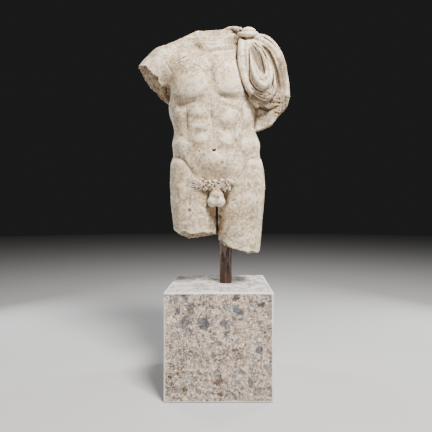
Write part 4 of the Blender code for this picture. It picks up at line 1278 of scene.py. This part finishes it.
# The large stones of the block's front face, as (place in millimetres, half size, turn in degrees, colour).
PEBBLES = (
    ((-112, 370), (16, 14), 10, "slate"), ((-101, 329), (14, 16), 0, "mauve"),
    ((-140, 315), (8, 13), 10, "slate"), ((-51, 271), (20, 23), 20, "slate"),
    ((-114, 277), (16, 26), -35, "smoke"), ((-97, 248), (6, 13), 25, "smoke"),
    ((17, 273), (13, 14), 0, "slate"), ((63, 318), (13, 20), 10, "slate"),
    ((77, 288), (6, 6), 0, "slate"), ((138, 182), (14, 12), 0, "smoke"),
    ((170, 177), (6, 8), 0, "smoke"), ((170, 120), (21, 8), -32, "ash"),
    ((109, 68), (9, 19), 12, "smoke"), ((134, 42), (17, 16), 0, "ash"),
    ((-6, 73), (13, 12), 30, "umber"), ((7, 29), (9, 7), 0, "umber"),
    ((-66, 39), (8, 10), 0, "smoke"), ((-140, 48), (13, 12), 0, "ash"),
    ((-166, 90), (7, 6), 0, "umber"), ((-161, 282), (14, 14), 0, "cream"),
    ((-147, 351), (10, 11), 0, "ash"), ((60, 362), (10, 15), 0, "umber"),
    ((150, 335), (12, 10), 30, "umber"), ((84, 105), (7, 8), 0, "slate"),
)


def stone_finish(choice):
    """Sawn conglomerate: a fine pink-grey ground with pebbles, brown scraps, dark squiggles, pale edges."""
    material, wires, where, shader = new_finish("Sawn conglomerate", Specular_IOR_Level=0.35)
    fine = wires.mottled(where, choice.ground, choice.ground_grey, 30.0, 0.50, 0.10)
    grains = wires.mottled(where, fine, choice.ground_pale, 120.0, 0.46, 0.05)
    colour = wires.mix(0.7, grains, wires.mottled(where, grains, choice.ochre, 70.0, 0.37, 0.05))
    for size, share, girth, strength in ((90.0, 0.45, 0.50, 0.75), (42.0, 0.32, 0.46, 0.80)):
        stones = wires.use("Pebbles", Where=where, Scale=size, Share=share, Size=girth, Ragged=0.9)
        tint = wires.mix(stones["Tone"], choice.umber, choice.ash)
        colour = wires.laid(strength, colour, tint, stones["Mask"])
    front = BLOCK_LOW[1]
    behind = wires.window(wires.parts(where)["Y"], front + 0.006, front + 0.02)
    large = wires.use("Pebbles", Where=where, Scale=17.0, Share=0.42, Size=0.42, Ragged=0.5)
    tint = wires.mix(large["Tone"], choice.slate, choice.smoke)
    colour = wires.mix(wires.multiply(large["Mask"], wires.multiply(behind, 0.8)), colour, tint)
    for place, size, turn, name in PEBBLES:
        (x, z), (across, up) = metres(place), metres(size)
        mask = wires.use(
            "One pebble", Where=where, Place=(x, front, z), Turn=(0, math.radians(-turn), 0),
            Size=(across, (across + up) / 2, up), Ragged=6.0 if name == "umber" else 1.5,
        )["Mask"]
        colour = wires.laid(0.85, colour, getattr(choice, name), mask)
    mottled = wires.fractal(where, 230.0, 5.0, 0.85)
    coarse = wires.fractal(where, 70.0, 3.0, 0.6)
    shade = wires.multiply_add(mottled, 5.2, wires.multiply_add(coarse, 2.2, -2.84))
    colour = wires.mix(1.0, colour, wires.threefold(shade), "MULTIPLY")
    swirl = wires.maths("ABSOLUTE", wires.subtract(wires.fractal(where, 62.0, 3.0, 0.6, 1.5), 0.5))
    there = wires.window(wires.fractal(where, 24.0, 3.0, 0.6), 0.49, 0.56)
    squiggle = wires.multiply(wires.window(swirl, 0.024, 0.012), there)
    colour = wires.laid(0.92, colour, choice.umber, squiggle)
    specks = wires.specks(where, 170.0, 0.85, 18.0)
    colour = wires.laid(0.90, colour, choice.umber, specks)
    # The upper face is painted lighter and streaked: painted light and reflection on the rubbed top.
    up = wires.parts(wires.put("ShaderNodeNewGeometry")["True Normal"])["Z"]
    streaks = wires.fractal(wires.stretched(where, (0.55, 0.45, 1.0)), 62.0, 7.0, 0.75, 0.8)
    top = wires.mix(wires.window(streaks, 0.46, 0.57), choice.top, choice.top_reflection_streak)
    colour = wires.laid(0.86, colour, top, wires.window(up, 0.6, 0.9))
    worn = wires.frayed(where, wires.attribute("wear"), 0.08, 0.40, 0.5, 60.0)
    wires.feed(shader["Base Color"], wires.laid(0.85, colour, choice.worn, worn))
    wires.feed(shader["Roughness"], wires.multiply_add(mottled, 0.25, 0.55))
    height = wires.subtract(mottled, wires.multiply(wires.add(squiggle, specks), 0.5))
    raise_grain(wires, shader, height, 0.0008)
    return material


def floor_finish(choice):
    """A plain pale floor."""
    material, wires, where, shader = new_finish("Plain floor", Specular_IOR_Level=0.1, Roughness=0.9)
    cloud = [0.97 * c for c in choice.floor[:3]] + [1.0]
    wires.feed(shader["Base Color"], wires.mottled(where, choice.floor, cloud, 1.5, 0.5, 0.3))
    return material


# ---------------------------------------------------------------- geometry trees for the bar and the block
BAR_SIDES = 96


def grow(name, tree, values):
    """Runs a geometry tree on an empty mesh with some inputs, and gives back the plain mesh as an object."""
    seed = bpy.data.objects.new(name, bpy.data.meshes.new(name))
    bpy.context.scene.collection.objects.link(seed)
    modifier = seed.modifiers.new(name, "NODES")
    modifier.node_group = tree
    sockets = {item.name: item.identifier for item in tree.interface.items_tree if item.item_type == "SOCKET"}
    for key, value in values.items():
        modifier[sockets[key]] = value
    seed.update_tag()
    mesh = baked(seed, modifier)
    mesh.name = name
    if not len(mesh.polygons):
        raise RuntimeError(f"{name}: its geometry tree gave no faces")
    return seed


def baked(obj, modifier):
    """The object's mesh, replaced by what its modifier makes of it, without the modifier."""
    mesh = bpy.data.meshes.new_from_object(obj.evaluated_get(bpy.context.evaluated_depsgraph_get()))
    obj.modifiers.remove(modifier)
    obj.data = mesh
    return mesh


def finish_tree(wires, geometry, result, material):
    """Ends a geometry tree: instances made real, and one material."""
    real = wires.put("GeometryNodeRealizeInstances", {0: geometry})[0]
    done = wires.put("GeometryNodeSetMaterial", {"Geometry": real, "Material": material})[0]
    wires.feed(result["Geometry"], done)
    return wires.tree


def round_bar(wires, sides, rings, caps, radius, bottom, top, middle):
    """An upright bar on an axis through the middle."""
    bar = wires.put("GeometryNodeMeshCylinder", {
        "Vertices": sides, "Side Segments": rings, "Fill Segments": caps, "Radius": radius,
        "Depth": wires.subtract(top, bottom),
    })["Mesh"]
    half_way = wires.multiply(wires.add(top, bottom), 0.5)
    lift = wires.put("ShaderNodeCombineXYZ", {2: half_way})[0]
    place = wires.vector("ADD", lift, middle)
    return wires.put("GeometryNodeTransform", {"Geometry": bar, "Translation": place})[0]


def shade(wires, geometry, crease):
    """Smooth shading, but for edges sharper than an angle."""
    smooth = wires.put("GeometryNodeSetShadeSmooth", {"Geometry": geometry}, domain="FACE")[0]
    angle = wires.put("GeometryNodeInputMeshEdgeAngle")[0]
    settings = {"data_type": "FLOAT", "operation": "GREATER_THAN"}
    sharp = wires.put("FunctionNodeCompare", {0: angle, 1: crease}, **settings)[0]
    inputs = {"Geometry": smooth, "Selection": sharp, "Shade Smooth": False}
    return wires.put("GeometryNodeSetShadeSmooth", inputs, domain="EDGE")[0]


def rusty_bar_tree():
    """A round bar whose skin is eaten inwards by rust: shallow waves, and flakes with steep sides."""
    wires, given, result = new_tree("Rusty bar", "GeometryNodeTree", {"Geometry": "Geometry"}, {
        "Radius": 0.024, "Bottom": 0.3, "Top": 0.6, "Middle": (0, 0, 0), "Wave depth": 0.0004,
        "Flake depth": 0.0005, "Flake size": 0.012, "Seed": 0.0, "Material": "Material",
    })
    radius, middle = given["Radius"], given["Middle"]
    bar = round_bar(wires, BAR_SIDES, 160, 4, radius, given["Bottom"], given["Top"], middle)
    where = wires.put("GeometryNodeInputPosition")[0]
    outward = wires.vector("MULTIPLY", wires.vector("SUBTRACT", where, middle), (1, 1, 0))
    side = wires.window(wires.divide(wires.length(outward), radius), 0.9, 0.98)
    seeded = wires.vector("ADD", where, wires.threefold(given["Seed"]))
    per_metre = wires.divide(1.0, given["Flake size"])
    wave = wires.fractal(seeded, wires.multiply(per_metre, 0.5), 3.0)
    flake = wires.window(wires.fractal(seeded, per_metre, 5.0, 0.6, 0.8), 0.50, 0.56)
    flakes = wires.multiply(flake, given["Flake depth"])
    depth = wires.add(wires.multiply(wave, given["Wave depth"]), flakes)
    inward = wires.multiply(wires.multiply(depth, side), -1.0)
    move = wires.scaled(wires.vector("NORMALIZE", outward), inward)
    bar = wires.put("GeometryNodeSetPosition", {"Geometry": bar, "Offset": move})[0]
    return finish_tree(wires, shade(wires, bar, 1.0), result, given["Material"])


def worn_block_tree():
    """A sawn block with worn, chipped edges, faces that are not quite level, and a hole for the bar."""
    wires, given, result = new_tree("Worn block", "GeometryNodeTree", {"Geometry": "Geometry"}, {
        "Low": (0, 0, 0), "High": (1, 1, 1), "Rows": 100, "Edge": 0.005, "Chips": 0.004, "Relief": 0.0004,
        "Bore middle": (0, 0, 0), "Bore radius": 0.02, "Bore bottom": 0.3, "Seed": 0.0,
        "Material": "Material",
    })
    vector, scaled = wires.vector, wires.scaled
    rows = given["Rows"]
    inputs = {"Size": (2, 2, 2), "Vertices X": rows, "Vertices Y": rows, "Vertices Z": rows}
    cube = wires.put("GeometryNodeMeshCube", inputs)["Mesh"]
    half = scaled(vector("SUBTRACT", given["High"], given["Low"]), 0.5)
    middle = scaled(vector("ADD", given["High"], given["Low"]), 0.5)

    # The points crowd towards the edges, which are then drawn in to a rounded, chipped outline.
    even = wires.put("GeometryNodeInputPosition")[0]
    crowded = vector("SINE", scaled(even, math.pi / 2))
    place = vector("MULTIPLY", vector("ADD", scaled(even, 0.35), scaled(crowded, 0.65)), half)
    shift = wires.threefold(given["Seed"])
    seeded = vector("ADD", place, shift)
    chip = wires.window(wires.fractal(seeded, 38.0, 5.0, 0.6), 0.56, 0.74)
    wear = wires.multiply_add(wires.fractal(seeded, 16.0, 3.0), 0.8, 0.6)
    girth = wires.multiply_add(wear, given["Edge"], wires.multiply(chip, given["Chips"]))
    inner = vector("SUBTRACT", half, wires.threefold(girth))
    core = vector("MAXIMUM", vector("MINIMUM", place, inner), scaled(inner, -1.0))
    away = vector("SUBTRACT", place, core)
    parts = wires.parts(vector("ABSOLUTE", away))
    power = 1.35
    x, y, z = (wires.maths("POWER", parts[axis], power) for axis in range(3))
    size = wires.maths("POWER", wires.add(wires.add(x, y), z), 1 / power)
    rounded = vector("ADD", core, scaled(away, wires.divide(girth, size)))
    block = wires.put("GeometryNodeSetPosition", {"Geometry": cube, "Position": rounded})[0]

    normal = wires.put("GeometryNodeInputNormal")[0]
    here = wires.put("GeometryNodeInputPosition")[0]
    dips = wires.fractal(vector("ADD", here, shift), 55.0, 6.0, 0.6)
    dips = wires.multiply(wires.window(dips, 0.42, 0.72), given["Relief"])
    inward = scaled(normal, wires.multiply(dips, -1.0))
    block = wires.put("GeometryNodeSetPosition", {"Geometry": block, "Offset": inward})[0]
    block = wires.put("GeometryNodeTransform", {"Geometry": block, "Translation": middle})[0]

    bore_top = wires.add(wires.parts(given["High"])["Z"], 0.05)
    radius, bottom = given["Bore radius"], given["Bore bottom"]
    bore = round_bar(wires, BAR_SIDES, 24, 1, radius, bottom, bore_top, given["Bore middle"])
    inputs = {"Mesh 1": block, "Mesh 2": bore}
    block = wires.put("GeometryNodeMeshBoolean", inputs, operation="DIFFERENCE", solver="EXACT")[0]

    # A point is as worn as it is near to two or three faces at once.
    inner = vector("SUBTRACT", half, scaled(wires.threefold(given["Edge"]), 1.5))
    off = vector("SUBTRACT", vector("ABSOLUTE", vector("SUBTRACT", here, middle)), inner)
    x, y, z = (wires.parts(vector("MAXIMUM", off, (0, 0, 0)))[axis] for axis in range(3))
    most = wires.larger(wires.larger(x, y), z)
    rest = wires.subtract(wires.add(wires.add(x, y), z), most)
    worn = wires.divide(rest, wires.multiply(given["Edge"], 0.55))
    inputs = {"Geometry": block, "Name": "wear", "Value": worn}
    block = wires.put("GeometryNodeStoreNamedAttribute", inputs, data_type="FLOAT", domain="POINT")[0]
    return finish_tree(wires, shade(wires, block, 0.7), result, given["Material"])


# ---------------------------------------------------------------- what a user may change
def length(name, description, default):
    """A setting that is a length."""
    return FloatProperty(
        name=name, description=description, default=default, min=0.0, precision=4, unit="LENGTH"
    )


def power(name, description, default):
    """A setting that is a light's power."""
    return FloatProperty(name=name, description=description, default=default, unit="POWER")


def colour(name, description, *rgb):
    """A setting that is a colour."""
    return FloatVectorProperty(
        name=name, description=description, default=(*rgb, 1.0), size=4, min=0.0, max=1.0, subtype="COLOR"
    )


class MarbleSettings(bpy.types.PropertyGroup):
    """The torso's fineness and the colours of its marble."""

    voxel: length("Voxel", "Grid spacing at which the skin is read from the clay", 0.002)
    triangles: IntProperty(
        name="Triangles", description="Most triangles in the skin", default=196000, min=1000
    )
    pale: colour("Pale", "Clean marble", 0.87, 0.685, 0.425)
    cream: colour("Cream", "Clouds in the clean marble", 0.62, 0.445, 0.250)
    # Tan is laid as stain, and as painted shade in folds, hollows and on faces that look down.
    tan: colour("Tan", "Stain in folds and freckles", 0.34, 0.228, 0.120)
    grey: colour("Grey", "Cool patches", 0.30, 0.262, 0.218)
    # Brown darkens cracks and specks, and darkens creases as painted shade with dirt.
    brown: colour("Brown", "Dirt along creases and cracks", 0.11, 0.066, 0.038)
    # Laid as dirt, and as painted shade in seams, folds and hollows.
    soil_and_shade: colour("Soil", "Dirt in seams and on worn patches", 0.110, 0.066, 0.034)
    # Painted shade, with dirt, in the deepest hollows.
    grime_and_shade: colour("Grime", "Dirt in the deepest hollows", 0.105, 0.066, 0.039)
    rubbed: colour("Rubbed", "Ridges rubbed clean", 0.90, 0.79, 0.64)
    fracture: colour("Fracture", "Old broken faces", 0.50, 0.360, 0.210)
    fracture_dark: colour("Dark fracture", "Dirt on the broken faces", 0.185, 0.128, 0.076)


class SteelSettings(bpy.types.PropertyGroup):
    """The rod's rust."""

    wave: length("Wave depth", "Depth of the bar's shallow waves", 0.0004)
    flake: length("Flake depth", "Depth to which rust has flaked off", 0.0005)
    flake_size: length("Flake size", "Width of a flake", 0.012)
    rust: colour("Rust", "Brown rust", 0.135, 0.072, 0.050)
    dark: colour("Dark rust", "Blackish rust", 0.042, 0.027, 0.021)
    scale: colour("Mill scale", "Purple-grey scale", 0.21, 0.155, 0.145)
    orange: colour("Orange", "Fresh rust at the foot", 0.038, 0.016, 0.007)


class StoneSettings(bpy.types.PropertyGroup):
    """The block's wear and the colours of its stone."""

    rows: IntProperty(
        name="Rows", description="Points along each side of the block", default=104, min=8, max=150
    )
    edge: length("Edge", "Width of the worn edges", 0.0048)
    chips: length("Chips", "Extra width where an edge is chipped", 0.0050)
    relief: length("Relief", "Depth of the dips in the faces", 0.0005)
    ground: colour("Ground", "Pink-beige ground", 0.52, 0.385, 0.290)
    ground_grey: colour("Grey ground", "Cooler ground", 0.44, 0.385, 0.34)
    ground_pale: colour("Pale ground", "Pale grains", 0.74, 0.62, 0.51)
    ochre: colour("Ochre", "Warm grains", 0.52, 0.35, 0.22)
    slate: colour("Slate", "Blue-grey pebbles", 0.105, 0.118, 0.150)
    smoke: colour("Smoke", "Grey pebbles", 0.14, 0.14, 0.145)
    ash: colour("Ash", "Pale grey-green pebbles", 0.22, 0.22, 0.22)
    mauve: colour("Mauve", "Purple-grey pebbles", 0.22, 0.175, 0.165)
    umber: colour("Umber", "Brown scraps and dark grains", 0.080, 0.055, 0.042)
    cream: colour("Cream", "Cream pebbles", 0.66, 0.56, 0.46)
    # The upper face's two colours paint the light and the reflection on it, over its rubbed stone.
    top: colour("Top", "Rubbed upper face", 0.74, 0.685, 0.63)
    top_reflection_streak: colour("Streaks", "Streaks on the upper face", 0.27, 0.27, 0.28)
    worn: colour("Worn edge", "Edges rubbed pale", 0.82, 0.78, 0.73)


class StageSettings(bpy.types.PropertyGroup):
    """The floor and the studio light."""

    floor: colour("Floor", "Colour of the floor", 0.55, 0.55, 0.55)
    reach: length("Floor radius", "Radius of the floor", 12.0)
    surround: FloatProperty(
        name="Surround", description="Brightness of the air around", default=0.015, min=0.0
    )
    key: power("Key light", "Power of the main light", 292.0)
    fill: power("Fill light", "Power of the light in front", 6.0)
    rim: power("Rim lights", "Power of each light behind", 26.0)


# ---------------------------------------------------------------- the pieces
MARGIN = 4              # grid steps of air kept round the marble
FEWEST_QUADS = 1000     # fewer than this, and the clay has come out empty
BAR_MIDDLE = (float(ROD_MIDDLE[0]), float(ROD_MIDDLE[1]), 0.0)
RUST_ROOM = 0.00005     # by which the bar stays inside its solid
BORE_GAP = 0.0004       # the room left round the bar in the block


def ride(piece, node):
    """Ties a piece to the block's body in place of a solid, and hides that solid."""
    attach(piece, "root")
    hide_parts(node)


def thin(obj, triangles):
    """Brings the object's mesh down to a number of triangles."""
    count = 2 * len(obj.data.polygons)
    if count <= triangles:
        return
    modifier = obj.modifiers.new("Thin", "DECIMATE")
    modifier.ratio = triangles / count
    modifier.use_collapse_triangulate = True
    baked(obj, modifier)


def read(items, name, width, kind):
    """One value of every item of a mesh, as rows."""
    values = np.empty(width * len(items), kind)
    items.foreach_get(name, values)
    return values.reshape(-1, width)


def note(mesh, name, values):
    """Keeps a number at each point of a mesh for its material to read."""
    mesh.attributes.new(name, "FLOAT", "POINT").data.foreach_set("value", values.astype(np.float32))


class TORSO_OT_carve_marble(bpy.types.Operator):
    """Carves the torso with its cloak, with the hole for the rod in its left thigh"""

    bl_idname = "torso.carve_marble"
    bl_label = "Carve the marble"
    bl_options = {"REGISTER", "UNDO"}

    def execute(self, context):
        choice = context.scene.torso_marble
        step = choice.voxel * 1
        points, quads = skin(MARBLE_LOW - MARGIN * step, MARBLE_HIGH + 2 * MARGIN * step, step)
        if len(quads) < FEWEST_QUADS:
            raise RuntimeError("the clay has no skin")
        mesh = bpy.data.meshes.new("marble_torso")
        mesh.from_pydata(points.tolist(), [], quads.tolist())
        piece = bpy.data.objects.new("marble_torso", mesh)
        context.scene.collection.objects.link(piece)
        thin(piece, choice.triangles)
        mesh = piece.data
        mesh.shade_smooth()
        points = np.clip(read(mesh.vertices, "co", 3, np.float32), MARBLE_LOW, MARBLE_HIGH)
        points = points.astype(np.float32)
        mesh.vertices.foreach_set("co", points.ravel())
        mesh.update()
        normals = read(mesh.vertex_normals, "vector", 3, np.float32)
        edges = read(mesh.edges, "vertices", 2, np.int32)
        for name, values in look_over(points, normals, edges).items():
            note(mesh, name, values)
        mesh.materials.append(marble_finish(choice))
        ride(piece, "torso")
        return {"FINISHED"}


class TORSO_OT_forge_rod(bpy.types.Operator):
    """Makes the rusty steel rod that holds the torso up"""

    bl_idname = "torso.forge_rod"
    bl_label = "Forge the rod"
    bl_options = {"REGISTER", "UNDO"}

    def execute(self, context):
        choice = context.scene.torso_steel
        piece = grow("steel_rod", rusty_bar_tree(), {
            "Radius": ROD_RADIUS - RUST_ROOM,
            "Bottom": float(ROD_LOW[2]),
            "Top": float(ROD_HIGH[2]),
            "Middle": BAR_MIDDLE,
            "Wave depth": choice.wave,
            "Flake depth": choice.flake,
            "Flake size": choice.flake_size,
            "Seed": 3.0,
            "Material": steel_finish(choice),
        })
        ride(piece, "rod")
        return {"FINISHED"}


class TORSO_OT_cut_block(bpy.types.Operator):
    """Cuts the square stone block, with worn edges and the hole that the rod stands in"""

    bl_idname = "torso.cut_block"
    bl_label = "Cut the block"
    bl_options = {"REGISTER", "UNDO"}

    def execute(self, context):
        choice = context.scene.torso_stone
        piece = grow("stone_block", worn_block_tree(), {
            "Low": BLOCK_LOW.tolist(),
            "High": BLOCK_HIGH.tolist(),
            "Rows": choice.rows,
            "Edge": choice.edge,
            "Chips": choice.chips,
            "Relief": choice.relief,
            "Bore middle": BAR_MIDDLE,
            "Bore radius": ROD_RADIUS + BORE_GAP,
            "Bore bottom": float(ROD_LOW[2]) - BORE_GAP,
            "Seed": 5.0,
            "Material": stone_finish(choice),
        })
        ride(piece, "block")
        return {"FINISHED"}


# The camera's place, and its focal length, frame and vanishing point in units of a 432nd of the frame.
CAMERA_PLACE = (0.0228, -1.50, 0.6445)
CAMERA_FOCUS = 382.3
FRAME_SIDE = 432
VANISHING_X, VANISHING_Z = 225.3, 215.1
SENSOR_WIDTH = 36.0

CHEST = (0.0, 0.0, 1.0)
# The soft lights, as (name, place, width and height, the setting that holds its power, tint).
LIGHTS = (
    ("Key light", (0.9, -1.7, 3.1), (0.9, 0.9), "key", (1.0, 0.975, 0.94)),
    ("Fill light", (-0.9, -2.6, 1.1), (1.6, 1.6), "fill", (1.0, 0.99, 0.98)),
    ("Right rim light", (-1.5, 0.9, 1.3), (0.4, 1.8), "rim", (1.0, 1.0, 1.0)),
    ("Left rim light", (1.5, 0.9, 1.3), (0.4, 1.8), "rim", (1.0, 1.0, 1.0)),
)


def hang_light(name, place, size, power, tint):
    """A soft light, unseen itself, turned towards the chest."""
    light = bpy.data.lights.new(name, "AREA")
    light.shape = "RECTANGLE"
    light.size, light.size_y = size
    light.energy = power
    light.color = tint
    obj = bpy.data.objects.new(name, light)
    obj.location = place
    obj.rotation_euler = (Vector(place) - Vector(CHEST)).to_track_quat("Z", "Y").to_euler()
    obj.visible_camera = False
    bpy.context.scene.collection.objects.link(obj)


class TORSO_OT_set_stage(bpy.types.Operator):
    """Lays the plain floor, hangs the soft lights and sets up the camera"""

    bl_idname = "torso.set_stage"
    bl_label = "Set the stage"
    bl_options = {"REGISTER", "UNDO"}

    def execute(self, context):
        choice = context.scene.torso_stage
        scene = context.scene
        turns = np.linspace(0, 2 * math.pi, 96, endpoint=False)
        edge = [(choice.reach * math.cos(t), choice.reach * math.sin(t), 0.0) for t in turns]
        mesh = bpy.data.meshes.new("floor")
        mesh.from_pydata(edge, [], [list(range(len(edge)))])
        mesh.materials.append(floor_finish(choice))
        floor = bpy.data.objects.new("floor", mesh)
        scene.collection.objects.link(floor)

        world = bpy.data.worlds.new("Studio air")
        world.use_nodes = True
        scene.world = world
        air = world.node_tree.nodes["Background"]
        air.inputs["Color"].default_value = (0.97, 0.98, 1.0, 1.0)
        air.inputs["Strength"].default_value = choice.surround

        for name, place, size, setting, tint in LIGHTS:
            hang_light(name, place, size, getattr(choice, setting), tint)

        camera = bpy.data.cameras.new("Camera")
        camera.sensor_width = SENSOR_WIDTH
        camera.lens = camera.sensor_width * CAMERA_FOCUS / FRAME_SIDE
        camera.shift_x = -(VANISHING_X - FRAME_SIDE / 2) / FRAME_SIDE
        camera.shift_y = (VANISHING_Z - FRAME_SIDE / 2) / FRAME_SIDE
        view = bpy.data.objects.new("Camera", camera)
        view.location = CAMERA_PLACE
        view.rotation_euler = (math.radians(90), 0, 0)
        scene.collection.objects.link(view)
        scene.camera = view
        return {"FINISHED"}


OPERATORS = (TORSO_OT_carve_marble, TORSO_OT_forge_rod, TORSO_OT_cut_block, TORSO_OT_set_stage)
SETTINGS = {
    "torso_marble": MarbleSettings, "torso_steel": SteelSettings,
    "torso_stone": StoneSettings, "torso_stage": StageSettings,
}
SHARED_EFFECTS = (
    mottle_group, specks_group, cracks_group, fringe_group, pebbles_group, one_pebble_group,
)


class TORSO_PT_workshop(bpy.types.Panel):
    """The steps of the making, in order, each with its settings"""

    bl_idname = "TORSO_PT_workshop"
    bl_label = "Marble torso"
    bl_space_type = "VIEW_3D"
    bl_region_type = "UI"
    bl_category = "Torso"

    def draw(self, context):
        for operator, (name, settings) in zip(OPERATORS, SETTINGS.items()):
            box = self.layout.box()
            box.operator(operator.bl_idname)
            for key in settings.__annotations__:
                box.prop(getattr(context.scene, name), key)


def register():
    for cls in (*SETTINGS.values(), *OPERATORS, TORSO_PT_workshop):
        bpy.utils.register_class(cls)
    for name, settings in SETTINGS.items():
        setattr(bpy.types.Scene, name, PointerProperty(type=settings))


def unregister():
    for name in SETTINGS:
        delattr(bpy.types.Scene, name)
    for cls in (TORSO_PT_workshop, *OPERATORS, *SETTINGS.values()):
        bpy.utils.unregister_class(cls)


def main():
    register()
    for effect in SHARED_EFFECTS:
        effect()
    bpy.ops.torso.carve_marble()
    bpy.ops.torso.forge_rod()
    bpy.ops.torso.cut_block()
    bpy.ops.torso.set_stage()


if __name__ == "__main__":
    main()
